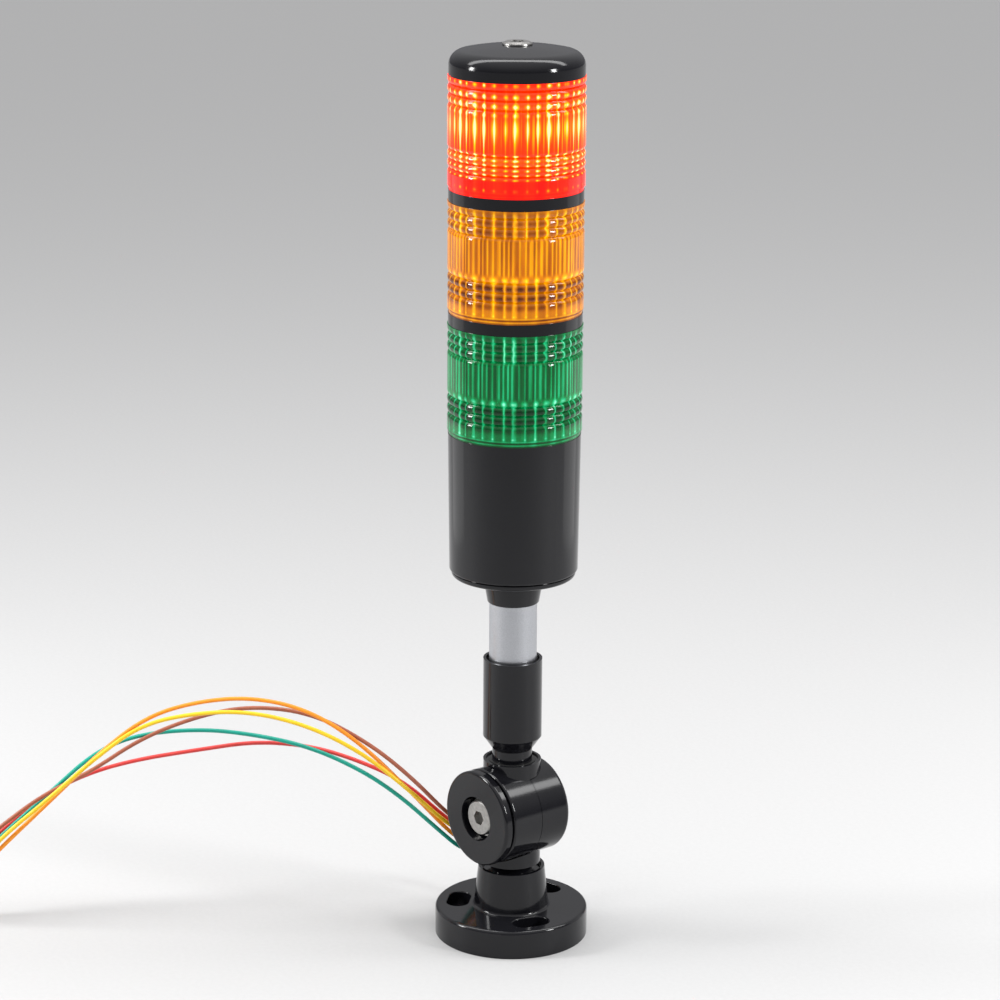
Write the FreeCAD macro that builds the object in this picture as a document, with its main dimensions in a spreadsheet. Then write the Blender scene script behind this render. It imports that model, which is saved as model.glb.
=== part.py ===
"""Three-tier 50 mm stack light on a folding foot: a parametric FreeCAD model in millimetres.

Frame: the origin is the centre of the foot's underside, +Z points up along the tower, and the
foot's tilt axis lies along Y, with the clamp disc and its screw facing -Y.
"""
import FreeCAD, Part
import math
import os

import Sketcher

FULL_TURN = 360
SAME_LENGTH = 0.01
SAME_WAY = 0.99
SAME_SHARE = 0.01
X_WAY = FreeCAD.Vector(1, 0, 0)
Y_WAY = FreeCAD.Vector(0, 1, 0)
Z_WAY = FreeCAD.Vector(0, 0, 1)

TIER_COLOURS = ("green", "amber", "red")
SCREW_COUNT = 3

DRIVING_SIZES = {
    # Foot
    "flange_dia": 58.4,
    "flange_thickness": 11.0,
    "flange_edge_round": 1.4,
    "flange_turn": -18.3,
    "cone_foot_dia": 28.8,
    "cone_top_dia": 25.4,
    "cone_height": 16.0,
    "cone_foot_round": 1.1,
    "cone_recess_dia": 23.0,
    "cone_recess_depth": 1.6,
    "slot_rim": 4.6,
    "slot_heel": 1.8,
    "slot_length": 14.2,
    "slot_depth": 4.5,
    "slot_lip": 0.5,
    "slot_land": 0.1,
    "screw_hole_dia": 5.4,
    "core_inner_dia": 32.0,
    "core_outer_dia": 51.0,
    "core_roof": 3.0,
    "core_sweep": 58.0,
    # Lead outlet in the foot
    "outlet_height": 15.8,
    "outlet_seat": 13.1,
    "grommet_flange_dia": 9.0,
    "grommet_flange": 1.6,
    "grommet_neck_dia": 6.4,
    "outlet_turn": 140.0,
    "lead_dia": 1.6,
    "lead_ring_dia": 3.6,
    "lead_straight": 6.5,
    "coil_outer_dia": 22.0,
    "coil_inner_dia": 12.4,
    "coil_pitch": 1.8,
    # Swivel
    "swivel_gap": 1.9,
    "drum_dia": 36.6,
    "drum_front": 13.4,
    "drum_back": 14.0,
    "drum_round": 0.9,
    "drum_back_round": 2.0,
    "parting_gap": 0.1,
    "collar_dia": 22.0,
    "collar_rise": 2.4,
    "saddle_clearance": 0.4,
    "shell_wall": 3.0,
    "boss_dia": 21.6,
    "running_clearance": 0.08,
    "fit_clearance": 0.05,
    "loose_clearance": 0.4,
    "stub_dia": 15.8,
    "stub_length": 9.0,
    "duct_dia": 5.6,
    "duct_offset": 3.9,
    "friction_washer_thickness": 1.0,
    "disc_thickness": 3.0,
    "disc_round": 1.2,
    "disc_groove": 1.3,
    "disc_groove_dia": 32.4,
    "disc_recess_dia": 17.2,
    "disc_hub_dia": 18.6,
    "disc_hub_floor": 1.4,
    "disc_shoulder_gap": 0.1,
    "front_wall": 2.5,
    "pivot_screw_dia": 8.0,
    "screw_head_dia": 13.6,
    "screw_head_height": 3.2,
    "screw_head_sunk": 1.4,
    "screw_head_chamfer": 0.5,
    "hex_key": 5.0,
    "hex_key_depth": 2.4,
    "pivot_washer_dia": 15.6,
    "pivot_washer_thickness": 1.4,
    "pivot_nut_flats": 13.0,
    "pivot_nut_height": 6.5,
    "pivot_nut_sunk": 0.9,
    # Sleeve and pole
    "collar_step_dia": 20.0,
    "collar_step_depth": 0.6,
    "collar_seat_dia": 17.8,
    "collar_seat_depth": 1.4,
    "seal_ring_thickness": 1.0,
    "spigot_dia": 15.2,
    "spigot_show": 4.3,
    "tongue_length": 7.0,
    "tongue_side_gap": 0.4,
    "sleeve_dia": 22.3,
    "sleeve_length": 30.8,
    "sleeve_cone_height": 5.1,
    "sleeve_mouth_dia": 20.2,
    "sleeve_mouth_depth": 2.0,
    "sleeve_socket_depth": 26.0,
    "sleeve_lead_bore": 13.0,
    "pole_dia": 18.0,
    "pole_wall": 1.2,
    "pole_show": 22.3,
    # Housing
    "neck_bottom_dia": 19.4,
    "neck_top_dia": 23.2,
    "neck_round": 0.5,
    "neck_height": 10.5,
    "plate_inset": 0.75,
    "plate_thickness": 2.4,
    "plate_round": 1.4,
    "plate_groove": 0.5,
    "plate_groove_depth": 0.9,
    "pole_boss_dia": 24.0,
    "pole_boss_height": 8.0,
    "sound_hole_dia": 2.2,
    "sound_hole_circle": 34.0,
    "sound_hole_count": 6,
    "housing_top_dia": 49.3,
    "housing_bottom_dia": 48.1,
    "housing_height": 52.7,
    "housing_wall": 2.0,
    "housing_deck": 2.4,
    "housing_bottom_round": 0.8,
    "joint_ring_wall": 1.8,
    "joint_ring_height": 3.0,
    "board_post_dia": 5.0,
    "board_post_circle": 32.0,
    "board_post_height": 16.0,
    "board_post_count": 3,
    "board_dia": 40.0,
    "board_thickness": 1.6,
    "buzzer_dia": 23.0,
    "buzzer_height": 9.5,
    "buzzer_port_dia": 3.0,
    "buzzer_port_depth": 1.5,
    "terminal_length": 12.5,
    "terminal_width": 6.0,
    "terminal_height": 7.0,
    "terminal_offset": 13.0,
    "rim_height": 4.0,
    "rim_wall": 1.6,
    "lead_hole_dia": 5.0,
    "lead_hole_offset": 12.0,
    # Tiers
    "tier_dia": 50.0,
    "lens_height": 41.2,
    "lens_wall": 2.4,
    "rib_round": 2.0,
    "rib_depth": 1.0,
    "rib_pitch": 3.45,
    "rib_land": 0.3,
    "rib_rows": 3,
    "rib_upper_first": 2.8,
    "rib_lower_first": 26.3,
    "rib_overcut": 0.5,
    "flute_count": 40,
    "flute_dia": 2.2,
    "flute_sunk": 0.2,
    "flute_margin_top": 3.2,
    "flute_margin_foot": 3.2,
    "lens_foot_height": 1.6,
    "lens_foot_step": 0.5,
    "band_dia": 49.4,
    "band_height": 4.3,
    "band_deck": 2.0,
    "rod_dia": 6.0,
    "rod_thread_depth": 10.0,
    "led_post_dia": 11.0,
    "led_board_dia": 30.0,
    "led_rise": 20.4,
    "led_dia": 5.0,
    "led_collar_dia": 5.8,
    "led_collar": 1.0,
    "led_length": 8.6,
    "led_circle_dia": 26.0,
    "led_count": 12,
    # Cap
    "cap_dia": 49.4,
    "cap_height": 10.9,
    "cap_crown_drop": 3.0,
    "cap_crown_round": 100.0,
    "cap_round": 5.4,
    "cap_wall": 2.6,
    "cap_screw_dia": 4.0,
    "cap_screw_length": 12.0,
    "cap_screw_head_dia": 11.0,
    "cap_screw_head_height": 1.1,
    "cap_screw_head_rim": 0.5,
    "cap_screw_face_dia": 8.4,
    "cross_length": 5.4,
    "cross_width": 1.6,
    "cross_depth": 0.9,
    "rod_nut_flats": 10.0,
    "rod_nut_height": 5.0,
    "rod_end_show": 2.0,
}

doc = FreeCAD.newDocument("stack_light")
sheet = doc.addObject("Spreadsheet::Sheet", "Sizes")
for row, (alias, number) in enumerate(DRIVING_SIZES.items(), start=1):
    sheet.set(f"A{row}", alias)
    sheet.set(f"B{row}", str(number))
    sheet.setAlias(f"B{row}", alias)
doc.recompute()


class Size:
    """A length that carries its number and the spreadsheet formula that gives it."""

    def __init__(self, number, formula):
        self.number = float(number)
        self.formula = formula

    @staticmethod
    def of(value):
        return value if isinstance(value, Size) else Size(value, repr(float(value)))

    def join(self, sign, other, number):
        return Size(number, f"({self.formula} {sign} {other.formula})")

    def __add__(self, value):
        other = Size.of(value)
        return self.join("+", other, self.number + other.number)

    def __sub__(self, value):
        other = Size.of(value)
        return self.join("-", other, self.number - other.number)

    def __mul__(self, value):
        other = Size.of(value)
        return self.join("*", other, self.number * other.number)

    def __truediv__(self, value):
        other = Size.of(value)
        return self.join("/", other, self.number / other.number)

    def __radd__(self, value):
        return Size.of(value) + self

    def __rsub__(self, value):
        return Size.of(value) - self

    def __neg__(self):
        return Size(-self.number, f"(-1 * {self.formula})")


def size(alias):
    return Size(sheet.get(alias), f"Sizes.{alias}")


def bind(target, path, value):
    """Bind one property of an object to a size, so that it follows the spreadsheet."""
    target.setExpression(path, Size.of(value).formula)


# --- Part primitives and booleans -------------------------------------------------------------


def place(target, x=0, y=0, z=0):
    for letter, value in (("x", x), ("y", y), ("z", z)):
        bind(target, f".Placement.Base.{letter}", value)
    return target


def cylinder(name, diameter, height, x=0, y=0, z=0, along=Z_WAY):
    rod = doc.addObject("Part::Cylinder", name)
    bind(rod, "Radius", Size.of(diameter) / 2)
    bind(rod, "Height", height)
    rod.Placement.Rotation = FreeCAD.Rotation(Z_WAY, along)
    return place(rod, x, y, z)


def box(name, length, width, height, x=0, y=0, z=0):
    block = doc.addObject("Part::Box", name)
    bind(block, "Length", length)
    bind(block, "Width", width)
    bind(block, "Height", height)
    return place(block, x, y, z)


def hexagon_bar(name, across_flats, height, x=0, y=0, z=0, along=Z_WAY):
    bar = doc.addObject("Part::Prism", name)
    bar.Polygon = 6
    bind(bar, "Circumradius", Size.of(across_flats) / math.sqrt(3))
    bind(bar, "Height", height)
    bar.Placement.Rotation = FreeCAD.Rotation(Z_WAY, along)
    return place(bar, x, y, z)


def fuse(name, *pieces):
    joined = doc.addObject("Part::MultiFuse", name)
    joined.Shapes = list(pieces)
    joined.Refine = True
    return joined


def cut(name, solid, *tools):
    tool = tools[0] if len(tools) == 1 else fuse(f"{name}_tools", *tools)
    result = doc.addObject("Part::Cut", name)
    result.Base = solid
    result.Tool = tool
    result.Refine = True
    return result


def washer(name, outer, inner, height, x=0, y=0, z=0, along=Z_WAY):
    rim = cylinder(f"{name}_rim", outer, height, x, y, z, along)
    hole = cylinder(f"{name}_hole", inner, height, x, y, z, along)
    return cut(name, rim, hole)


# --- PartDesign bodies ------------------------------------------------------------------------


def origin_item(body, role):
    return next(item for item in body.Origin.OriginFeatures if item.Role == role)


def new_sketch(body, name, plane):
    sketch = body.newObject("Sketcher::SketchObject", name)
    sketch.AttachmentSupport = [(origin_item(body, plane), "")]
    sketch.MapMode = "FlatFace"
    return sketch


def pin_point(sketch, geometry, end, across, up):
    """Hold one point of a sketch at bound distances from the sketch's own origin."""
    for kind, axis, value in (("DistanceX", -2, across), ("DistanceY", -1, up)):
        value = Size.of(value)
        if value.number == 0:
            sketch.addConstraint(Sketcher.Constraint("PointOnObject", geometry, end, axis))
            continue
        index = sketch.addConstraint(Sketcher.Constraint(kind, -1, 1, geometry, end, value.number))
        sketch.setExpression(f"Constraints[{index}]", value.formula)


def arc_between(start, stop, radius, clockwise):
    """The short arc of a radius from one point to another, as Sketcher stores it."""
    if clockwise:
        start, stop = stop, start
    chord = stop - start
    rise = math.sqrt(radius ** 2 - (chord.Length / 2) ** 2) / chord.Length
    centre = start + chord / 2 + FreeCAD.Vector(-chord.y, chord.x, 0) * rise
    first = math.atan2(start.y - centre.y, start.x - centre.x)
    last = math.atan2(stop.y - centre.y, stop.x - centre.x)
    return Part.ArcOfCircle(Part.Circle(centre, Z_WAY, radius), first, last)


def closed_outline(sketch, corners, rounds=None):
    """Draw a closed outline through bound corners; rounds gives the radius of the side after a corner.

    A side with a radius is an arc, and a negative radius makes it run clockwise.
    """
    rounds = rounds or {}
    points = [FreeCAD.Vector(Size.of(a).number, Size.of(b).number, 0) for a, b in corners]
    sides = []
    ends = []
    for index, start in enumerate(points):
        stop = points[(index + 1) % len(points)]
        radius = rounds.get(index)
        backward = radius is not None and radius.number < 0
        if radius is None:
            sides.append(Part.LineSegment(start, stop))
        else:
            sides.append(arc_between(start, stop, abs(radius.number), backward))
        ends.append((2, 1) if backward else (1, 2))
    sketch.addGeometry(sides, False)
    for index, (_, finish) in enumerate(ends):
        following = (index + 1) % len(ends)
        sketch.addConstraint(Sketcher.Constraint("Coincident", index, finish, following, ends[following][0]))
    for index, (across, up) in enumerate(corners):
        pin_point(sketch, index, ends[index][0], across, up)
    for index, radius in rounds.items():
        length = radius if radius.number > 0 else -radius
        limit = sketch.addConstraint(Sketcher.Constraint("Radius", index, length.number))
        sketch.setExpression(f"Constraints[{limit}]", length.formula)


def bound_circle(sketch, diameter, across, up):
    centre = FreeCAD.Vector(Size.of(across).number, Size.of(up).number, 0)
    radius = Size.of(diameter) / 2
    index = sketch.addGeometry(Part.Circle(centre, Z_WAY, radius.number), False)
    pin_point(sketch, index, 3, across, up)
    limit = sketch.addConstraint(Sketcher.Constraint("Radius", index, radius.number))
    sketch.setExpression(f"Constraints[{limit}]", radius.formula)


def turned_body(name, corners, rounds=None):
    """A body turned about its own Z axis from a profile of (radius, height) corners."""
    body = doc.addObject("PartDesign::Body", name)
    sketch = new_sketch(body, f"{name}_profile", "XZ_Plane")
    closed_outline(sketch, corners, rounds)
    turned = body.newObject("PartDesign::Revolution", f"{name}_turned")
    turned.Profile = sketch
    turned.ReferenceAxis = (sketch, ["V_Axis"])
    turned.Angle = FULL_TURN
    body.Tip = turned
    doc.recompute()
    return body


def round_rims(body, name, radius, *rims):
    """Round the circular edges that lie at the given (diameter, height) pairs."""
    wanted = [(Size.of(d).number / 2, Size.of(z).number) for d, z in rims]
    base = body.Tip
    names = []
    for number, edge in enumerate(base.Shape.Edges, start=1):
        curve = edge.Curve
        if not isinstance(curve, Part.Circle) or abs(curve.Axis.z) < SAME_WAY:
            continue
        if any(math.hypot(curve.Radius - r, curve.Center.z - z) < SAME_LENGTH for r, z in wanted):
            names.append(f"Edge{number}")
    rounding = body.newObject("PartDesign::Fillet", name)
    rounding.Base = (base, names)
    bind(rounding, "Radius", radius)
    body.Tip = rounding
    doc.recompute()
    return body


def round_level_edges(body, name, radius, height, inner, outer):
    """Round the edges that lie flat at a height, between two distances from the axis."""
    level, least, most = (Size.of(value).number for value in (height, inner, outer))
    base = body.Tip
    names = []
    for number, edge in enumerate(base.Shape.Edges, start=1):
        limits = edge.BoundBox
        reach = math.hypot(edge.CenterOfMass.x, edge.CenterOfMass.y)
        flat = abs(limits.ZMin - level) < SAME_LENGTH and abs(limits.ZMax - level) < SAME_LENGTH
        if flat and least < reach < most:
            names.append(f"Edge{number}")
    rounding = body.newObject("PartDesign::Fillet", name)
    rounding.Base = (base, names)
    bind(rounding, "Radius", radius)
    body.Tip = rounding
    doc.recompute()
    return body


def pocket(body, sketch, name, depth, downward=True):
    hole = body.newObject("PartDesign::Pocket", name)
    hole.Profile = sketch
    hole.Type = "Length"
    hole.Reversed = not downward
    bind(hole, "Length", depth)
    body.Tip = hole
    return hole


def polar(body, feature, name, count):
    pattern = body.newObject("PartDesign::PolarPattern", name)
    pattern.Originals = [feature]
    pattern.Axis = (origin_item(body, "Z_Axis"), [""])
    pattern.Angle = FULL_TURN
    bind(pattern, "Occurrences", count)
    body.Tip = pattern
    return pattern


def ribs_cut(body, name, outer, height, count):
    """Turn a row of sharp valleys into the outside of a body, which leaves rounded ribs between them."""
    pitch = size("rib_pitch")
    mouth = (pitch - size("rib_land")) / 2
    beyond = outer + size("rib_overcut")
    round_side = -size("rib_round")
    sketch = new_sketch(body, f"{name}_profile", "XZ_Plane")
    closed_outline(sketch, [
        (beyond, height + mouth),
        (outer, height + mouth),
        (outer - size("rib_depth"), height),
        (outer, height - mouth),
        (beyond, height - mouth),
    ], {1: round_side, 2: round_side})
    valley = body.newObject("PartDesign::Groove", f"{name}_valley")
    valley.Profile = sketch
    valley.ReferenceAxis = (sketch, ["V_Axis"])
    valley.Angle = FULL_TURN
    body.Tip = valley
    row = body.newObject("PartDesign::LinearPattern", f"{name}_row")
    row.Originals = [valley]
    row.Direction = (origin_item(body, "Z_Axis"), [""])
    row.Reversed = True
    bind(row, "Length", pitch * (count - 1))
    bind(row, "Occurrences", count)
    body.Tip = row
    doc.recompute()


# --- Levels up the tower ----------------------------------------------------------------------

FLANGE_TOP = size("flange_thickness")
CONE_TOP = FLANGE_TOP + size("cone_height")
COLLAR_REACH = size("drum_dia") / 2 + size("collar_rise")
COLLAR_BOTTOM = CONE_TOP + size("swivel_gap")
PIVOT = COLLAR_BOTTOM + COLLAR_REACH
COLLAR_TOP = PIVOT + COLLAR_REACH
SPIGOT_TOP = COLLAR_TOP + size("spigot_show")
SHOULDER = SPIGOT_TOP + size("sleeve_cone_height")
SLEEVE_TOP = SHOULDER + size("sleeve_length")
POLE_BOTTOM = SLEEVE_TOP - size("sleeve_socket_depth")
NECK_BOTTOM = SLEEVE_TOP + size("pole_show")
PLATE_BOTTOM = NECK_BOTTOM + size("neck_height")
PLATE_TOP = PLATE_BOTTOM + size("plate_thickness")
HOUSING_TOP = PLATE_TOP + size("housing_height")
TIER_PITCH = size("lens_height") + size("band_height")
LENS_INSIDE = size("tier_dia") - size("lens_wall") * 2
JOINT_RING_DIA = LENS_INSIDE - size("fit_clearance") * 2
JOINT_RING_HOLE = JOINT_RING_DIA - size("joint_ring_wall") * 2
CAP_BOTTOM = HOUSING_TOP + TIER_PITCH * len(TIER_COLOURS) - size("band_height")
CAP_TOP = CAP_BOTTOM + size("cap_height")
CAP_SHOULDER = CAP_TOP - size("cap_crown_drop")
CAP_ROOF = CAP_SHOULDER - size("cap_wall")
ROD_HOLE_DIA = size("rod_dia") + size("loose_clearance")
ROD_BOTTOM = HOUSING_TOP - size("housing_deck") - size("rod_nut_height") - size("rod_end_show")
BOARD_TOP = PLATE_TOP + size("board_post_height") + size("board_thickness")
LED_BOARD_RISE = size("led_rise") - size("led_collar_dia") / 2 - size("board_thickness")
SADDLE_DIA = size("drum_dia") + size("saddle_clearance") * 2
STUB_HOLE_DIA = size("stub_dia") + size("fit_clearance") * 2

# --- Foot -------------------------------------------------------------------------------------

SLOT_OUTER = size("flange_dia") / 2 - size("slot_rim")
SLOT_INNER = size("cone_foot_dia") / 2 + size("slot_heel")
SLOT_REACH = (SLOT_OUTER + SLOT_INNER) / 2
OUTLET_TURN = math.radians(size("outlet_turn").number)
OUTLET_WAY = FreeCAD.Vector(math.cos(OUTLET_TURN), math.sin(OUTLET_TURN), 0)


def tangent_slot(sketch):
    """A straight slot with round ends, lying across the X axis at the screw circle."""
    radius = (SLOT_OUTER - SLOT_INNER) / 2
    reach = size("slot_length") / 2 - radius
    centre_x = SLOT_REACH
    half = FreeCAD.Vector(0, reach.number, 0)
    centre = FreeCAD.Vector(centre_x.number, 0, 0)
    side = FreeCAD.Vector(radius.number, 0, 0)
    upper = Part.ArcOfCircle(Part.Circle(centre + half, Z_WAY, radius.number), 0, math.pi)
    lower = Part.ArcOfCircle(Part.Circle(centre - half, Z_WAY, radius.number), math.pi, 2 * math.pi)
    left = Part.LineSegment(centre + half - side, centre - half - side)
    right = Part.LineSegment(centre - half + side, centre + half + side)
    sketch.addGeometry([upper, left, lower, right], False)
    for index in range(4):
        following = (index + 1) % 4
        sketch.addConstraint(Sketcher.Constraint("Tangent", index, 2, following, 1))
    pin_point(sketch, 0, 3, centre_x, reach)
    pin_point(sketch, 2, 3, centre_x, -reach)
    limit = sketch.addConstraint(Sketcher.Constraint("Radius", 0, radius.number))
    sketch.setExpression(f"Constraints[{limit}]", radius.formula)


def core_sector(sketch):
    """A ring sector between two screw slots, seen from below, on the far side from a slot."""
    inner = size("core_inner_dia") / 2
    outer = size("core_outer_dia") / 2
    half_sweep = math.radians(size("core_sweep").number) / 2
    middle = math.pi
    first, last = middle - half_sweep, middle + half_sweep
    wide = Part.ArcOfCircle(Part.Circle(FreeCAD.Vector(), Z_WAY, outer.number), first, last)
    narrow = Part.ArcOfCircle(Part.Circle(FreeCAD.Vector(), Z_WAY, inner.number), first, last)
    far_side = Part.LineSegment(wide.EndPoint, narrow.EndPoint)
    near_side = Part.LineSegment(narrow.StartPoint, wide.StartPoint)
    sketch.addGeometry([wide, far_side, narrow, near_side], False)
    for pair in ((0, 2, 1, 1), (1, 2, 2, 2), (2, 1, 3, 1), (3, 2, 0, 1)):
        sketch.addConstraint(Sketcher.Constraint("Coincident", *pair))
    for arc, radius in ((0, outer), (2, inner)):
        sketch.addConstraint(Sketcher.Constraint("Coincident", arc, 3, -1, 1))
        limit = sketch.addConstraint(Sketcher.Constraint("Radius", arc, radius.number))
        sketch.setExpression(f"Constraints[{limit}]", radius.formula)
    for line in (1, 3):
        sketch.addConstraint(Sketcher.Constraint("PointOnObject", -1, 1, line))
    sketch.addConstraint(Sketcher.Constraint("Symmetric", 0, 1, 0, 2, -1))
    opening = sketch.addConstraint(Sketcher.Constraint("Angle", 3, 2, 1, 1, 2 * half_sweep))
    sketch.setExpression(f"Constraints[{opening}]", size("core_sweep").formula)


def outlet_bar(name, diameter, start, length):
    """A bar on the lead outlet's axis, from a distance out from the cone's axis."""
    start = Size.of(start)
    return cylinder(name, diameter, length, x=start * OUTLET_WAY.x, y=start * OUTLET_WAY.y,
                    z=size("outlet_height"), along=OUTLET_WAY)


def build_base_flange():
    """Round foot with a hollow cone, three slotted screw pockets and cored ribs underneath."""
    recess_floor = CONE_TOP - size("cone_recess_depth")
    body = turned_body("foot_body", [
        (STUB_HOLE_DIA / 2, 0),
        (size("flange_dia") / 2, 0),
        (size("flange_dia") / 2, FLANGE_TOP),
        (size("cone_foot_dia") / 2, FLANGE_TOP),
        (size("cone_top_dia") / 2, CONE_TOP),
        (size("cone_recess_dia") / 2, CONE_TOP),
        (size("cone_recess_dia") / 2, recess_floor),
        (STUB_HOLE_DIA / 2, recess_floor),
    ])
    round_rims(body, "flange_edge", size("flange_edge_round"), (size("flange_dia"), FLANGE_TOP))
    round_rims(body, "cone_foot", size("cone_foot_round"), (size("cone_foot_dia"), FLANGE_TOP))

    slot = new_sketch(body, "slot_outline", "XY_Plane")
    tangent_slot(slot)
    bind(slot, ".AttachmentOffset.Base.z", FLANGE_TOP)
    doc.recompute()
    polar(body, pocket(body, slot, "slot_pocket", size("slot_depth")), "slots", SCREW_COUNT)
    doc.recompute()
    round_level_edges(body, "slot_lips", size("slot_lip"), FLANGE_TOP,
                      SLOT_INNER - size("slot_land"), SLOT_OUTER + size("slot_land"))

    hole = new_sketch(body, "screw_hole_outline", "XY_Plane")
    bound_circle(hole, size("screw_hole_dia"), SLOT_REACH, 0)
    doc.recompute()
    polar(body, pocket(body, hole, "screw_hole", FLANGE_TOP, downward=False), "screw_holes", SCREW_COUNT)

    core = new_sketch(body, "core_outline", "XY_Plane")
    core_sector(core)
    doc.recompute()
    core_pocket = pocket(body, core, "core", FLANGE_TOP - size("core_roof"), downward=False)
    polar(body, core_pocket, "cores", SCREW_COUNT)
    doc.recompute()
    body.Placement.Rotation = FreeCAD.Rotation(Z_WAY, size("flange_turn").number)
    bind(body, ".Placement.Rotation.Angle", size("flange_turn"))

    face = outlet_bar("outlet_face", size("grommet_flange_dia") + size("loose_clearance"),
                      size("outlet_seat"), size("outlet_seat"))
    hole = outlet_bar("outlet_hole", size("grommet_neck_dia"), 0, size("outlet_seat"))
    return cut("base_flange", body, face, hole)


def build_wire_grommet():
    """Rubber bush that carries the five leads out through the back of the cone."""
    inner = STUB_HOLE_DIA / 2
    rim = outlet_bar("grommet_rim", size("grommet_flange_dia"), size("outlet_seat"), size("grommet_flange"))
    neck = outlet_bar("grommet_neck", size("grommet_neck_dia"), inner, size("outlet_seat") - inner)
    return fuse("wire_grommet", rim, neck)


# --- Swivel -----------------------------------------------------------------------------------

WASHER_HALF = size("friction_washer_thickness") / 2
BORE_DIA = size("pivot_screw_dia") + size("running_clearance") * 2
DRUM_INSIDE = size("drum_dia") - size("shell_wall") * 2
DRUM_LENGTH = size("drum_front") + size("drum_back")
DISC_FACE = size("drum_front") + size("disc_groove") + size("disc_thickness")
HEAD_FACE = DISC_FACE - size("screw_head_sunk")
HEAD_SEAT = HEAD_FACE - size("screw_head_height")
WASHER_SEAT = HEAD_SEAT - size("pivot_washer_thickness")
HUB_END = WASHER_SEAT - size("disc_hub_floor")
NUT_FACE = size("drum_back") - size("pivot_nut_sunk")
SPIGOT_END = PIVOT + SADDLE_DIA / 2
TONGUE_END = COLLAR_TOP - size("collar_seat_depth") - size("tongue_length")


def half_drum(name, width, wall, rim_round, end_corners):
    """One cup-shaped half of the drum on its own Z axis, mouth down, with its central boss."""
    outer = size("drum_dia") / 2
    inner = DRUM_INSIDE / 2
    boss = size("boss_dia") / 2
    mouth = size("parting_gap")
    roof = width - wall
    body = turned_body(name, [
        (BORE_DIA / 2, WASHER_HALF),
        (boss, WASHER_HALF),
        (boss, roof),
        (inner, roof),
        (inner, mouth),
        (outer, mouth),
        (outer, width),
        *end_corners,
    ])
    return round_rims(body, f"{name}_rim", rim_round, (size("drum_dia"), width))


def lay_on_axis(piece, direction):
    """Lay a turned piece on the tilt axis, its own +Z along the given direction."""
    piece.Placement.Rotation = FreeCAD.Rotation(Z_WAY, direction)
    return place(piece, z=PIVOT)


def collar_shell(name, bottom, away):
    """A collar that grows from one half of the drum and overhangs the other half with clearance."""
    collar = cylinder(f"{name}_collar", size("collar_dia"), COLLAR_REACH, z=bottom)
    start = size("parting_gap") * -away
    direction = Y_WAY * away
    inside = cylinder(f"{name}_inside", DRUM_INSIDE, DRUM_LENGTH, y=-DRUM_LENGTH / 2, z=PIVOT, along=Y_WAY)
    saddle = cylinder(f"{name}_saddle", SADDLE_DIA, DRUM_LENGTH, y=start, z=PIVOT, along=direction)
    return cut(f"{name}_shell", collar, inside, saddle)


def build_swivel_upper_half():
    """Front half of the drum with the upper collar, bored to hold the sleeve's spigot."""
    recess = (size("disc_hub_dia") + size("loose_clearance")) / 2
    drum = half_drum("upper_drum", size("drum_front"), size("front_wall"), size("drum_round"), [
        (recess, size("drum_front")),
        (recess, HUB_END),
        (BORE_DIA / 2, HUB_END),
    ])
    joined = fuse("upper_joined", lay_on_axis(drum, -Y_WAY), collar_shell("upper", PIVOT, 1))
    step_depth = size("collar_step_depth")
    seat_depth = size("collar_seat_depth")
    step = cylinder("collar_step", size("collar_step_dia"), step_depth, z=COLLAR_TOP - step_depth)
    ring_seat = cylinder("collar_seat", size("collar_seat_dia"), seat_depth, z=COLLAR_TOP - seat_depth)
    socket = cylinder("spigot_socket", size("spigot_dia") + size("fit_clearance") * 2,
                      COLLAR_TOP - TONGUE_END, z=TONGUE_END)
    return cut("swivel_upper_half", joined, step, ring_seat, socket)


def build_swivel_lower_half():
    """Back half of the drum with the lower collar and the hollow stub that screws into the foot."""
    drum = half_drum("lower_drum", size("drum_back"), size("shell_wall"), size("drum_back_round"), [
        (BORE_DIA / 2, size("drum_back")),
    ])
    stub_end = COLLAR_BOTTOM - size("stub_length")
    overlap = PIVOT - SADDLE_DIA / 2 - COLLAR_BOTTOM
    stub = cylinder("lower_stub", size("stub_dia"), size("stub_length") + overlap, z=stub_end)
    joined = fuse("lower_joined", lay_on_axis(drum, Y_WAY), collar_shell("lower", COLLAR_BOTTOM, -1), stub)
    duct = cylinder("lower_duct", size("duct_dia"), PIVOT - size("boss_dia") / 2 - stub_end,
                    y=size("duct_offset"), z=stub_end)
    nut_pocket = hexagon_bar("nut_pocket", size("pivot_nut_flats") + size("fit_clearance") * 2,
                             size("pivot_nut_height") + size("pivot_nut_sunk"),
                             y=NUT_FACE - size("pivot_nut_height"), z=PIVOT, along=Y_WAY)
    return cut("swivel_lower_half", joined, duct, nut_pocket)


def build_clamp_disc():
    """Dished disc that covers the front of the drum; its hub takes the screw's pull."""
    hub = size("disc_hub_dia") / 2
    recess = size("disc_recess_dia") / 2
    back = DISC_FACE - size("disc_thickness")
    shoulder = size("drum_front") + size("disc_shoulder_gap")
    body = turned_body("clamp_disc", [
        (BORE_DIA / 2 + size("loose_clearance") / 2, HUB_END),
        (hub, HUB_END),
        (hub, shoulder),
        (size("disc_groove_dia") / 2, shoulder),
        (size("disc_groove_dia") / 2, back),
        (size("drum_dia") / 2, back),
        (size("drum_dia") / 2, DISC_FACE),
        (recess, DISC_FACE),
        (recess, WASHER_SEAT),
        (BORE_DIA / 2 + size("loose_clearance") / 2, WASHER_SEAT),
    ])
    round_rims(body, "disc_edge", size("disc_round"), (size("drum_dia"), DISC_FACE))
    return lay_on_axis(body, -Y_WAY)


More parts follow.
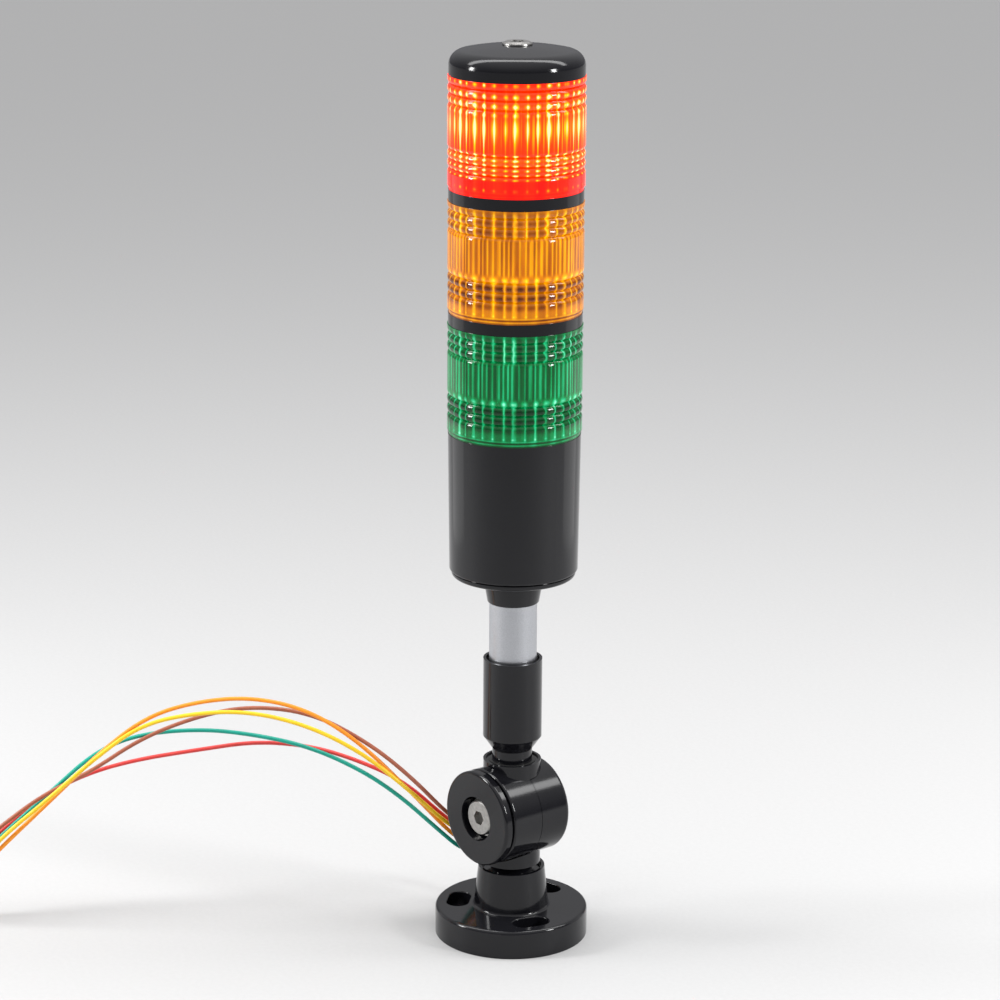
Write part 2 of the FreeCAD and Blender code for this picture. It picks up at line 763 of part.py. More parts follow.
def build_pivot_screw():
    """Low-head socket screw through the drum, its head sunk in the clamp disc."""
    head = size("screw_head_dia") / 2
    chamfer = size("screw_head_chamfer")
    tip = size("pivot_screw_dia") / 2 - chamfer
    end = -NUT_FACE
    body = turned_body("pivot_screw_turned", [
        (0, end),
        (tip, end),
        (size("pivot_screw_dia") / 2, end + chamfer),
        (size("pivot_screw_dia") / 2, HEAD_SEAT),
        (head, HEAD_SEAT),
        (head, HEAD_FACE - chamfer),
        (head - chamfer, HEAD_FACE),
        (0, HEAD_FACE),
    ])
    lay_on_axis(body, -Y_WAY)
    socket = hexagon_bar("pivot_socket", size("hex_key"), size("hex_key_depth"),
                         y=size("hex_key_depth") - HEAD_FACE, z=PIVOT, along=-Y_WAY)
    return cut("pivot_screw", body, socket)


def build_pivot_washer():
    hole = size("pivot_screw_dia") + size("fit_clearance") * 2
    return washer("pivot_washer", size("pivot_washer_dia"), hole, size("pivot_washer_thickness"),
                  y=-WASHER_SEAT, z=PIVOT, along=-Y_WAY)


def build_pivot_nut():
    height = size("pivot_nut_height")
    bar = hexagon_bar("pivot_nut_bar", size("pivot_nut_flats"), height,
                      y=NUT_FACE - height, z=PIVOT, along=Y_WAY)
    hole = cylinder("pivot_nut_hole", size("pivot_screw_dia") + size("fit_clearance") * 2, height,
                    y=NUT_FACE - height, z=PIVOT, along=Y_WAY)
    return cut("pivot_nut", bar, hole)


def build_friction_washer():
    """Fibre washer clamped between the two bosses, which holds the chosen tilt."""
    return washer("friction_washer", size("boss_dia") - size("loose_clearance"), BORE_DIA,
                  size("friction_washer_thickness"), y=-WASHER_HALF, z=PIVOT, along=Y_WAY)


# --- Sleeve and pole --------------------------------------------------------------------------


def build_collar_ring():
    """Rubber ring that closes the gap between the collar and the sleeve's spigot."""
    fit = size("fit_clearance") * 2
    return washer("collar_ring", size("collar_seat_dia") - fit, size("spigot_dia") + fit,
                  size("seal_ring_thickness"), z=COLLAR_TOP - size("collar_seat_depth"))


def build_pole_sleeve():
    """Sleeve that holds the pole, with a spigot and a half-round keyed tongue below its cone."""
    spigot = size("spigot_dia") / 2
    mouth = size("sleeve_mouth_dia") / 2
    socket = size("pole_dia") / 2 + size("fit_clearance")
    mouth_floor = SLEEVE_TOP - size("sleeve_mouth_depth")
    lead_bore = size("sleeve_lead_bore") / 2
    body = turned_body("sleeve_turned", [
        (0, SPIGOT_END),
        (spigot, SPIGOT_END),
        (spigot, SPIGOT_TOP),
        (size("sleeve_dia") / 2, SHOULDER),
        (size("sleeve_dia") / 2, SLEEVE_TOP),
        (mouth, SLEEVE_TOP),
        (mouth, mouth_floor),
        (socket, mouth_floor),
        (socket, POLE_BOTTOM),
        (lead_bore, POLE_BOTTOM),
        (lead_bore, SHOULDER),
        (0, SHOULDER),
    ])
    length = SPIGOT_END - TONGUE_END
    rod = cylinder("tongue_rod", size("spigot_dia"), length, z=TONGUE_END)
    keep = box("tongue_keep", size("spigot_dia"), spigot - size("tongue_side_gap"), length,
               x=-spigot, y=-spigot, z=TONGUE_END)
    tongue = doc.addObject("Part::Common", "tongue")
    tongue.Base = rod
    tongue.Tool = keep
    duct = cylinder("sleeve_duct", size("duct_dia"), SHOULDER - TONGUE_END,
                    y=-size("duct_offset"), z=TONGUE_END)
    return cut("pole_sleeve", fuse("sleeve_joined", body, tongue), duct)


def build_pole_tube():
    top = PLATE_TOP + size("pole_boss_height")
    return washer("pole_tube", size("pole_dia"), size("pole_dia") - size("pole_wall") * 2,
                  top - POLE_BOTTOM, z=POLE_BOTTOM)


# --- Housing ----------------------------------------------------------------------------------


def pad_posts(body, name, diameter, circle, bottom, height, count):
    """A ring of round posts that stand on a level inside a body."""
    sketch = new_sketch(body, f"{name}_outline", "XY_Plane")
    bound_circle(sketch, diameter, circle / 2, 0)
    bind(sketch, ".AttachmentOffset.Base.z", bottom)
    doc.recompute()
    post = body.newObject("PartDesign::Pad", f"{name}_post")
    post.Profile = sketch
    bind(post, "Length", height)
    body.Tip = post
    polar(body, post, name, count)
    doc.recompute()


def level_hole(body, name, diameter, across, up, top, depth):
    """A round hole cut down from a level; returns its feature, so that it can be repeated."""
    sketch = new_sketch(body, f"{name}_outline", "XY_Plane")
    bound_circle(sketch, diameter, across, up)
    bind(sketch, ".AttachmentOffset.Base.z", top)
    doc.recompute()
    feature = pocket(body, sketch, name, depth)
    doc.recompute()
    return feature


def build_bottom_cover():
    """Bottom plate of the housing with the neck that grips the pole and the posts for the board."""
    hole = size("pole_dia") / 2 + size("fit_clearance")
    rim = size("housing_bottom_dia") / 2 - size("housing_wall") - size("fit_clearance")
    inner_rim = rim - size("rim_wall")
    rim_top = PLATE_TOP + size("rim_height")
    boss_top = PLATE_TOP + size("pole_boss_height")
    groove_bottom = PLATE_TOP - size("plate_groove")
    plate = size("housing_bottom_dia") / 2 - size("plate_inset")
    groove_wall = plate - size("plate_groove_depth")
    body = turned_body("bottom_cover", [
        (hole, NECK_BOTTOM),
        (size("neck_bottom_dia") / 2, NECK_BOTTOM),
        (size("neck_top_dia") / 2, PLATE_BOTTOM),
        (plate, PLATE_BOTTOM),
        (plate, groove_bottom),
        (groove_wall, groove_bottom),
        (groove_wall, PLATE_TOP),
        (rim, PLATE_TOP),
        (rim, rim_top),
        (inner_rim, rim_top),
        (inner_rim, PLATE_TOP),
        (size("pole_boss_dia") / 2, PLATE_TOP),
        (size("pole_boss_dia") / 2, boss_top),
        (hole, boss_top),
    ])
    round_rims(body, "plate_edge", size("plate_round"), (plate * 2, PLATE_BOTTOM))
    round_rims(body, "neck_edge", size("neck_round"), (size("neck_bottom_dia"), NECK_BOTTOM))
    pad_posts(body, "board_posts", size("board_post_dia"), size("board_post_circle"), PLATE_TOP,
              size("board_post_height"), size("board_post_count"))
    slant = math.pi / size("sound_hole_count").number
    reach = size("sound_hole_circle") / 2
    sound = level_hole(body, "sound_hole", size("sound_hole_dia"), reach * math.cos(slant),
                       reach * math.sin(slant), PLATE_TOP, size("plate_thickness"))
    polar(body, sound, "sound_holes", size("sound_hole_count"))
    return body


def build_base_housing():
    """Tapered black housing, open below, with the ring that carries the first lens on its deck."""
    wall = size("housing_wall")
    bottom = size("housing_bottom_dia") / 2
    top = size("housing_top_dia") / 2
    deck = HOUSING_TOP - size("housing_deck")
    ring_top = HOUSING_TOP + size("joint_ring_height")
    body = turned_body("base_housing", [
        (bottom - wall, PLATE_TOP),
        (bottom, PLATE_TOP),
        (top, HOUSING_TOP),
        (JOINT_RING_DIA / 2, HOUSING_TOP),
        (JOINT_RING_DIA / 2, ring_top),
        (JOINT_RING_HOLE / 2, ring_top),
        (JOINT_RING_HOLE / 2, HOUSING_TOP),
        (ROD_HOLE_DIA / 2, HOUSING_TOP),
        (ROD_HOLE_DIA / 2, deck),
        (top - wall, deck),
    ])
    round_rims(body, "housing_edge", size("housing_bottom_round"), (size("housing_bottom_dia"), PLATE_TOP))
    level_hole(body, "housing_lead_hole", size("lead_hole_dia"), size("lead_hole_offset"), 0,
               HOUSING_TOP, size("housing_deck"))
    return body


def build_control_board():
    thickness = size("board_thickness")
    return cylinder("control_board", size("board_dia"), thickness, z=BOARD_TOP - thickness)


def build_lead_terminal():
    length, width = size("terminal_length"), size("terminal_width")
    return box("lead_terminal", length, width, size("terminal_height"),
               x=-length / 2, y=-(size("terminal_offset") + width), z=BOARD_TOP)


def build_buzzer():
    """Round sounder on the board, with its sound port in the middle of the top."""
    can = size("buzzer_dia") / 2
    port = size("buzzer_port_dia") / 2
    top = BOARD_TOP + size("buzzer_height")
    return turned_body("buzzer", [
        (0, BOARD_TOP),
        (can, BOARD_TOP),
        (can, top),
        (port, top),
        (port, top - size("buzzer_port_depth")),
        (0, top - size("buzzer_port_depth")),
    ])


# --- Tiers ------------------------------------------------------------------------------------


def build_tier_band(name, bottom):
    """Black ring between two lenses, with a deck for the upper tier and a joint ring each way."""
    top = bottom + size("band_height")
    reach = size("joint_ring_height")
    outer, inner = JOINT_RING_DIA / 2, JOINT_RING_HOLE / 2
    deck = top - size("band_deck")
    body = turned_body(name, [
        (ROD_HOLE_DIA / 2, deck),
        (inner, deck),
        (inner, bottom - reach),
        (outer, bottom - reach),
        (outer, bottom),
        (size("band_dia") / 2, bottom),
        (size("band_dia") / 2, top),
        (outer, top),
        (outer, top + reach),
        (inner, top + reach),
        (inner, top),
        (ROD_HOLE_DIA / 2, top),
    ])
    level_hole(body, f"{name}_lead_hole", size("lead_hole_dia"), size("lead_hole_offset"), 0,
               top, size("band_deck"))
    return body


def build_lens(name, bottom):
    """Clear coloured lens tube with round ribs outside and upright flutes inside."""
    outer = size("tier_dia") / 2
    inner = LENS_INSIDE / 2
    top = bottom + size("lens_height")
    step_top = bottom + size("lens_foot_height")
    body = turned_body(name, [
        (inner, bottom),
        (outer - size("lens_foot_step"), bottom),
        (outer - size("lens_foot_step"), step_top),
        (outer, step_top),
        (outer, top),
        (inner, top),
    ])
    for row in ("upper", "lower"):
        ribs_cut(body, f"{name}_{row}", outer, top - size(f"rib_{row}_first"), size("rib_rows"))
    sketch = new_sketch(body, f"{name}_flute_outline", "XY_Plane")
    bound_circle(sketch, size("flute_dia"), inner - size("flute_sunk"), 0)
    flute_top = top - size("flute_margin_top")
    bind(sketch, ".AttachmentOffset.Base.z", flute_top)
    doc.recompute()
    flute = pocket(body, sketch, f"{name}_flute", flute_top - bottom - size("flute_margin_foot"))
    polar(body, flute, f"{name}_flutes", size("flute_count"))
    doc.recompute()
    return body


def build_led_post(name, bottom):
    return washer(name, size("led_post_dia"), ROD_HOLE_DIA, LED_BOARD_RISE, z=bottom)


def build_led_board(name, bottom):
    return washer(name, size("led_board_dia"), ROD_HOLE_DIA, size("board_thickness"),
                  z=bottom + LED_BOARD_RISE)


def build_leds(name, bottom):
    """Ring of round LEDs lying on the board and facing outwards, one solid each."""
    radius = size("led_dia").number / 2
    rim = size("led_collar_dia").number / 2
    collar = size("led_collar").number
    straight = size("led_length").number - radius
    barrel = Part.makeCylinder(radius, straight).fuse(Part.makeCylinder(rim, collar))
    led = barrel.fuse(Part.makeSphere(radius, FreeCAD.Vector(0, 0, straight))).removeSplitter()
    led.rotate(FreeCAD.Vector(), Y_WAY, 90)
    led.translate(FreeCAD.Vector(size("led_circle_dia").number / 2, 0, 0))
    count = int(size("led_count").number)
    ring = []
    for index in range(count):
        copy = led.copy()
        copy.rotate(FreeCAD.Vector(), Z_WAY, FULL_TURN * (index + 0.5) / count)
        ring.append(copy)
    group = doc.addObject("Part::Feature", name)
    group.Shape = Part.makeCompound(ring)
    return place(group, z=bottom + size("led_rise"))


# --- Cap and tie rod --------------------------------------------------------------------------


def build_cap():
    """Black end cap with a generous edge, held down by the screw in its middle."""
    edge = size("cap_dia") / 2
    hole = (size("cap_screw_dia") + size("loose_clearance")) / 2
    body = turned_body("cap", [
        (JOINT_RING_HOLE / 2, CAP_BOTTOM - size("joint_ring_height")),
        (JOINT_RING_DIA / 2, CAP_BOTTOM - size("joint_ring_height")),
        (JOINT_RING_DIA / 2, CAP_BOTTOM),
        (edge, CAP_BOTTOM),
        (edge, CAP_SHOULDER),
        (hole, CAP_TOP),
        (hole, CAP_ROOF),
        (JOINT_RING_HOLE / 2, CAP_ROOF),
    ], {4: size("cap_crown_round")})
    return round_rims(body, "cap_edge", size("cap_round"), (size("cap_dia"), CAP_SHOULDER))


def build_cap_screw():
    """Low round-headed screw with a cross recess, driven into the end of the tie rod."""
    shank = size("cap_screw_dia") / 2
    head = size("cap_screw_head_dia") / 2
    rim = CAP_TOP + size("cap_screw_head_rim")
    crown = CAP_TOP + size("cap_screw_head_height")
    body = turned_body("cap_screw_turned", [
        (0, CAP_TOP - size("cap_screw_length")),
        (shank, CAP_TOP - size("cap_screw_length")),
        (shank, CAP_TOP),
        (head, CAP_TOP),
        (head, rim),
        (size("cap_screw_face_dia") / 2, crown),
        (0, crown),
    ])
    length, width, depth = size("cross_length"), size("cross_width"), size("cross_depth")
    arms = (
        box("cross_arm_x", length, width, depth, x=-length / 2, y=-width / 2, z=crown - depth),
        box("cross_arm_y", width, length, depth, x=-width / 2, y=-length / 2, z=crown - depth),
    )
    return cut("cap_screw", body, *arms)


def build_tie_rod():
    """Rod through all the tiers, tapped at its top end for the cap screw."""
    rod = cylinder("tie_rod_bar", size("rod_dia"), CAP_ROOF - ROD_BOTTOM, z=ROD_BOTTOM)
    depth = size("rod_thread_depth")
    thread = cylinder("tie_rod_thread", size("cap_screw_dia") + size("fit_clearance") * 2, depth,
                      z=CAP_ROOF - depth)
    return cut("tie_rod", rod, thread)


def build_rod_nut():
    height = size("rod_nut_height")
    under_deck = HOUSING_TOP - size("housing_deck") - height
    bar = hexagon_bar("rod_nut_bar", size("rod_nut_flats"), height, z=under_deck)
    hole = cylinder("rod_nut_hole", size("rod_dia") + size("fit_clearance") * 2, height, z=under_deck)
    return cut("rod_nut", bar, hole)


# --- Leads ------------------------------------------------------------------------------------

# Points of each lead after its straight exit, chosen by hand; the last one is where its coil begins.
LEAD_ROUTES = {
    "orange": [
        (-22.5, 13.5, 16.5), (-27.5, 10.5, 22.0), (-27.5, 1.5, 27.5), (-23.5, -9.0, 32.5),
        (-30.5, -24.0, 52.0), (-44.0, -40.0, 73.5), (-58.5, -54.0, 85.5), (-75.0, -68.5, 89.0),
        (-90.5, -83.5, 86.0), (-102.0, -98.0, 80.0), (-109.5, -113.5, 68.0), (-119.5, -130.5, 49.0),
        (-128.0, -149.5, 30.5), (-137.5, -159.5, 15.5), (-145.5, -167.5, 4.0),
        (-152.7, -176.1, 0.8), (-159.0, -183.8, 0.8),
    ],
    "yellow": [
        (-22.5, 13.0, 19.0), (-26.5, 10.0, 26.0), (-27.0, 2.0, 31.0), (-22.5, -11.5, 37.5),
        (-30.0, -27.0, 55.0), (-40.5, -41.0, 70.0), (-55.5, -55.5, 80.0), (-72.0, -71.0, 84.5),
        (-87.0, -86.0, 83.0), (-100.5, -102.0, 78.0), (-109.0, -117.5, 65.5),
        (-118.0, -134.0, 49.5), (-128.0, -149.5, 34.5), (-137.5, -159.5, 18.0),
        (-145.5, -167.5, 6.5), (-152.7, -176.1, 2.6), (-159.0, -183.8, 2.6),
    ],
    "green": [
        (-22.0, 16.5, 16.5), (-30.0, 12.0, 22.0), (-28.5, 3.0, 24.5), (-23.0, -6.0, 27.0),
        (-26.5, -16.0, 37.5), (-36.0, -25.5, 49.5), (-48.5, -35.0, 59.0), (-64.5, -48.0, 67.0),
        (-81.0, -62.0, 70.5), (-96.5, -77.5, 72.0), (-111.0, -97.0, 70.0), (-119.0, -112.0, 63.5),
        (-125.5, -129.0, 48.5), (-133.0, -146.5, 33.0), (-139.5, -157.5, 20.5),
        (-145.5, -167.5, 8.5), (-152.7, -176.1, 4.4), (-159.0, -183.8, 4.4),
    ],
    "red": [
        (-22.0, 17.0, 19.0), (-30.5, 12.5, 26.0), (-31.5, 1.0, 32.5), (-26.0, -10.5, 39.5),
        (-35.5, -24.5, 56.0), (-51.5, -36.0, 63.0), (-68.5, -46.0, 66.0), (-85.0, -59.5, 66.0),
        (-101.0, -74.5, 61.5), (-116.0, -93.5, 57.5), (-124.5, -110.5, 53.5),
        (-130.0, -127.0, 47.0), (-135.0, -145.5, 34.0), (-140.5, -157.0, 23.0),
        (-145.5, -167.5, 11.0), (-152.7, -176.1, 6.2), (-159.0, -183.8, 6.2),
    ],
    "brown": [
        (-22.5, 15.0, 21.0), (-28.5, 11.5, 29.0), (-25.5, -3.0, 36.0), (-21.5, -14.5, 44.5),
        (-29.5, -26.5, 60.5), (-43.0, -36.5, 72.5), (-60.5, -50.0, 82.5), (-79.5, -65.5, 83.5),
        (-95.0, -80.0, 78.0), (-108.5, -97.0, 69.0), (-117.5, -115.0, 56.5), (-124.0, -132.0, 49.5),
        (-131.0, -147.5, 38.0), (-139.0, -158.5, 26.0), (-145.5, -167.5, 13.5),
        (-152.7, -176.1, 8.0), (-159.0, -183.8, 8.0),
    ],
}
RING_PLACES = {"brown": 0, "yellow": 1, "orange": 2, "green": 3, "red": 4}
COIL_CENTRE = (-166.9, -177.3)
BEND_SHARE = 0.45


def lead_start(index):
    """Face of the grommet and end of the straight exit, for one of the leads in their ring."""
    turn = math.radians(FULL_TURN) * index / len(LEAD_ROUTES)
    reach = size("lead_ring_dia").number / 2
    side = Z_WAY.cross(OUTLET_WAY)
    face = size("outlet_seat").number + size("grommet_flange").number
    centre = OUTLET_WAY * face + Z_WAY * size("outlet_height").number
    start = centre + Z_WAY * (reach * math.cos(turn)) + side * (reach * math.sin(turn))
    return [start, start + OUTLET_WAY * size("lead_straight").number]


def rounded_route(name, points):
    """Straight runs joined by tangent arcs; prints the route's length and its tightest bend."""
    edges = []
    radii = []
    start = points[0]
    for before, corner, after in zip(points, points[1:], points[2:]):
        into = (corner - before).normalize()
        onward = (after - corner).normalize()
        reach = BEND_SHARE * min((corner - before).Length, (after - corner).Length)
        half_turn = into.getAngle(onward) / 2
        radius = reach / math.tan(half_turn)
        middle = (onward - into).normalize()
        crown = corner + middle * (radius / math.cos(half_turn) - radius)
        arc_start = corner - into * reach
        arc_end = corner + onward * reach
        edges.append(Part.LineSegment(start, arc_start).toShape())
        edges.append(Part.Arc(arc_start, crown, arc_end).toShape())
        radii.append(radius)
        start = arc_end
    edges.append(Part.LineSegment(start, points[-1]).toShape())
    route = Part.Wire(edges)
    print(f"{name}: {route.Length:.1f} mm long, bends {min(radii):.1f} to {max(radii):.0f} mm")
    return route


def build_lead(name, index, corners):
    """One lead as a round tube along its route, from the grommet's face to its coil."""
    points = lead_start(index) + [FreeCAD.Vector(*corner) for corner in corners]
    route = rounded_route(name, points)
    radius = size("lead_dia").number / 2
    section = Part.Wire(Part.makeCircle(radius, points[0], OUTLET_WAY))
    lead = doc.addObject("Part::Feature", name)
    lead.Shape = route.makePipeShell([section], True, True)
    share = lead.Shape.Volume / (math.pi * radius ** 2 * route.Length)
    if abs(share - 1) > SAME_SHARE:
        raise RuntimeError(f"{name} has {share:.3f} of its section times its length")
    return lead


def build_lead_coil(name, level):
    """Outer shape of the flat coil that holds the rest of a lead on the floor."""
    across, up = COIL_CENTRE
    return washer(name, size("coil_outer_dia"), size("coil_inner_dia"), size("lead_dia"),
                  x=across, y=up, z=size("coil_pitch") * level)


# --- Build, check and export ------------------------------------------------------------------


def build_all():
    nodes = [
        build_base_flange(),
        build_wire_grommet(),
        build_swivel_lower_half(),
        build_swivel_upper_half(),
        build_clamp_disc(),
        build_pivot_screw(),
        build_pivot_washer(),
        build_pivot_nut(),
        build_friction_washer(),
        build_collar_ring(),
        build_pole_sleeve(),
        build_pole_tube(),
        build_bottom_cover(),
        build_base_housing(),
        build_control_board(),
        build_lead_terminal(),
        build_buzzer(),
        build_tie_rod(),
        build_rod_nut(),
        build_cap(),
        build_cap_screw(),
    ]
    for index, colour in enumerate(TIER_COLOURS):
        bottom = HOUSING_TOP + TIER_PITCH * index
        if index > 0:
            nodes.append(build_tier_band(f"{colour}_tier_band", bottom - size("band_height")))
        nodes.append(build_lens(f"{colour}_lens", bottom))
        nodes.append(build_led_post(f"{colour}_led_post", bottom))
        nodes.append(build_led_board(f"{colour}_led_board", bottom))
        nodes.append(build_leds(f"{colour}_leds", bottom))
    for level, (colour, corners) in enumerate(LEAD_ROUTES.items()):
        nodes.append(build_lead(f"{colour}_lead", RING_PLACES[colour], corners))
        nodes.append(build_lead_coil(f"{colour}_lead_coil", level))
    return nodes


def check(nodes):
    for item in doc.Objects:
        if "Invalid" in item.State or "Error" in item.State:
            raise RuntimeError(f"{item.Label} failed: {item.State}")
    for node in nodes:
        if node.Shape.isNull() or not node.Shape.isValid():
            raise RuntimeError(f"{node.Label} has no valid shape")


nodes = build_all()
for node in nodes:
    node.Label = node.Name
doc.recompute()
check(nodes)
os.makedirs("parts", exist_ok=True)
for node in nodes:
    node.Shape.exportStep(os.path.join("parts", f"{node.Label}.step"))
    print(f"{node.Label:22s} {len(node.Shape.Solids):3d} solids {node.Shape.Volume / 1000:8.3f} cm3")
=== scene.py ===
"""Blender scene for a 50 mm three-tier stack light on a tilting foot, around its CAD model."""
import math

import bpy
from mathutils import Matrix, Vector


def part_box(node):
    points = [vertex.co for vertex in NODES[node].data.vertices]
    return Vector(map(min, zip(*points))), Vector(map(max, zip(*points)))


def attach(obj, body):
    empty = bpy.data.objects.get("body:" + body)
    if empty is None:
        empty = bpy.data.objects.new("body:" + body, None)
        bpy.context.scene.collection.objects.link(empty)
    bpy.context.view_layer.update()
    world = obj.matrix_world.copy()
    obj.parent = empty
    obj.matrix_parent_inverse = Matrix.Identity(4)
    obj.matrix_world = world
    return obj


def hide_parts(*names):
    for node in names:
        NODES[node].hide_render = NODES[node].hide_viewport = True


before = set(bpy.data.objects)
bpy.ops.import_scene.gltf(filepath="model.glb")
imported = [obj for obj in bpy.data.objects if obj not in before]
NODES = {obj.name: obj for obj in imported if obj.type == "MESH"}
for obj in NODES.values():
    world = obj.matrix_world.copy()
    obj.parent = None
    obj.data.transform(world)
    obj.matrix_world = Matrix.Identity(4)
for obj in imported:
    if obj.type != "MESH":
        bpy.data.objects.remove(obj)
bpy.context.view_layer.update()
MM = 0.001

# --- Camera: fitted to the photograph's ellipses and edges ----------------------------------------

CAMERA_AZIMUTH = math.radians(50.5)
CAMERA_PITCH = math.radians(15.69)
CAMERA_ROLL = math.radians(0.35)
CAMERA_HEIGHT = 0.4938
CAMERA_DISTANCE = 1.1455
CAMERA_SIDE = -0.0052
CAMERA_LENS = 115.13
SENSOR_WIDTH = 36.0
CLIP_START = 0.01
CLIP_END = 20

UP = Vector((0, 0, 1))
VIEW_RIGHT = Vector((math.cos(CAMERA_AZIMUTH), math.sin(CAMERA_AZIMUTH), 0))
VIEW_AHEAD = Vector((-math.sin(CAMERA_AZIMUTH), math.cos(CAMERA_AZIMUTH), 0))


def make_camera():
    place = VIEW_RIGHT * CAMERA_SIDE - VIEW_AHEAD * CAMERA_DISTANCE + UP * CAMERA_HEIGHT
    look = VIEW_AHEAD * math.cos(CAMERA_PITCH) - UP * math.sin(CAMERA_PITCH)
    top = UP * math.cos(CAMERA_PITCH) + VIEW_AHEAD * math.sin(CAMERA_PITCH)
    rolled_top = top * math.cos(CAMERA_ROLL) - VIEW_RIGHT * math.sin(CAMERA_ROLL)
    rolled_right = VIEW_RIGHT * math.cos(CAMERA_ROLL) + top * math.sin(CAMERA_ROLL)
    data = bpy.data.cameras.new("camera")
    data.lens = CAMERA_LENS
    data.sensor_width = SENSOR_WIDTH
    data.clip_start = CLIP_START
    data.clip_end = CLIP_END
    camera = bpy.data.objects.new("camera", data)
    axes = Matrix((rolled_right, rolled_top, -look)).transposed()
    camera.matrix_world = Matrix.Translation(place) @ axes.to_4x4()
    bpy.context.scene.collection.objects.link(camera)
    bpy.context.scene.camera = camera


# --- Leads, in millimetres ------------------------------------------------------------------------

OUTLET_TURN = math.radians(140)
OUTLET_WAY = Vector((math.cos(OUTLET_TURN), math.sin(OUTLET_TURN), 0))
OUTLET_HEIGHT = 15.8
GROMMET_FACE = 14.7
LEAD_DIA = 1.6
LEAD_RING = 1.8
LEAD_STRAIGHT = 6.5
COIL_CENTRE = (-166.9, -177.3)
COIL_TURNS = 2
COIL_TURN_POINTS = 14
COIL_START_RADIUS = 10.2
COIL_END_RADIUS = 7.0
SPLINE_ORDER = 3
SPLINE_STEPS = 8
ROUND_STEPS = 5
RING_PLACES = {"brown": 0, "yellow": 1, "orange": 2, "green": 3, "red": 4}

# Each lead's points after its straight exit, as in the part's source. It ends in a flat coil.
LEAD_ROUTES = {
    "orange": [
        (-22.5, 13.5, 16.5), (-27.5, 10.5, 22.0), (-27.5, 1.5, 27.5), (-23.5, -9.0, 32.5),
        (-30.5, -24.0, 52.0), (-44.0, -40.0, 73.5), (-58.5, -54.0, 85.5), (-75.0, -68.5, 89.0),
        (-90.5, -83.5, 86.0), (-102.0, -98.0, 80.0), (-109.5, -113.5, 68.0), (-119.5, -130.5, 49.0),
        (-128.0, -149.5, 30.5), (-137.5, -159.5, 15.5), (-145.5, -167.5, 4.0),
        (-152.7, -176.1, 0.8), (-159.0, -183.8, 0.8),
    ],
    "yellow": [
        (-22.5, 13.0, 19.0), (-26.5, 10.0, 26.0), (-27.0, 2.0, 31.0), (-22.5, -11.5, 37.5),
        (-30.0, -27.0, 55.0), (-40.5, -41.0, 70.0), (-55.5, -55.5, 80.0), (-72.0, -71.0, 84.5),
        (-87.0, -86.0, 83.0), (-100.5, -102.0, 78.0), (-109.0, -117.5, 65.5),
        (-118.0, -134.0, 49.5), (-128.0, -149.5, 34.5), (-137.5, -159.5, 18.0),
        (-145.5, -167.5, 6.5), (-152.7, -176.1, 2.6), (-159.0, -183.8, 2.6),
    ],
    "green": [
        (-22.0, 16.5, 16.5), (-30.0, 12.0, 22.0), (-28.5, 3.0, 24.5), (-23.0, -6.0, 27.0),
        (-26.5, -16.0, 37.5), (-36.0, -25.5, 49.5), (-48.5, -35.0, 59.0), (-64.5, -48.0, 67.0),
        (-81.0, -62.0, 70.5), (-96.5, -77.5, 72.0), (-111.0, -97.0, 70.0), (-119.0, -112.0, 63.5),
        (-125.5, -129.0, 48.5), (-133.0, -146.5, 33.0), (-139.5, -157.5, 20.5),
        (-145.5, -167.5, 8.5), (-152.7, -176.1, 4.4), (-159.0, -183.8, 4.4),
    ],
    "red": [
        (-22.0, 17.0, 19.0), (-30.5, 12.5, 26.0), (-31.5, 1.0, 32.5), (-26.0, -10.5, 39.5),
        (-35.5, -24.5, 56.0), (-51.5, -36.0, 63.0), (-68.5, -46.0, 66.0), (-85.0, -59.5, 66.0),
        (-101.0, -74.5, 61.5), (-116.0, -93.5, 57.5), (-124.5, -110.5, 53.5),
        (-130.0, -127.0, 47.0), (-135.0, -145.5, 34.0), (-140.5, -157.0, 23.0),
        (-145.5, -167.5, 11.0), (-152.7, -176.1, 6.2), (-159.0, -183.8, 6.2),
    ],
    "brown": [
        (-22.5, 15.0, 21.0), (-28.5, 11.5, 29.0), (-25.5, -3.0, 36.0), (-21.5, -14.5, 44.5),
        (-29.5, -26.5, 60.5), (-43.0, -36.5, 72.5), (-60.5, -50.0, 82.5), (-79.5, -65.5, 83.5),
        (-95.0, -80.0, 78.0), (-108.5, -97.0, 69.0), (-117.5, -115.0, 56.5), (-124.0, -132.0, 49.5),
        (-131.0, -147.5, 38.0), (-139.0, -158.5, 26.0), (-145.5, -167.5, 13.5),
        (-152.7, -176.1, 8.0), (-159.0, -183.8, 8.0),
    ],
}


def lead_start(ring_place):
    """The lead's two ends of its straight exit, at its place in the ring of leads."""
    turn = 2 * math.pi * ring_place / len(LEAD_ROUTES)
    side = UP.cross(OUTLET_WAY)
    centre = OUTLET_WAY * GROMMET_FACE + UP * OUTLET_HEIGHT
    start = centre + UP * (LEAD_RING * math.cos(turn)) + side * (LEAD_RING * math.sin(turn))
    return [start, start + OUTLET_WAY * LEAD_STRAIGHT]


def coil_points(last):
    """Flat turns that go on from the lead's last point and wind inwards."""
    centre = Vector((*COIL_CENTRE, last.z))
    arm = last - centre
    begin = math.atan2(arm.y, arm.x)
    steps = COIL_TURNS * COIL_TURN_POINTS
    points = []
    for step in range(1, steps + 1):
        angle = begin - 2 * math.pi * step / COIL_TURN_POINTS
        radius = COIL_START_RADIUS + (COIL_END_RADIUS - COIL_START_RADIUS) * step / steps
        points.append(centre + Vector((radius * math.cos(angle), radius * math.sin(angle), 0)))
    return points


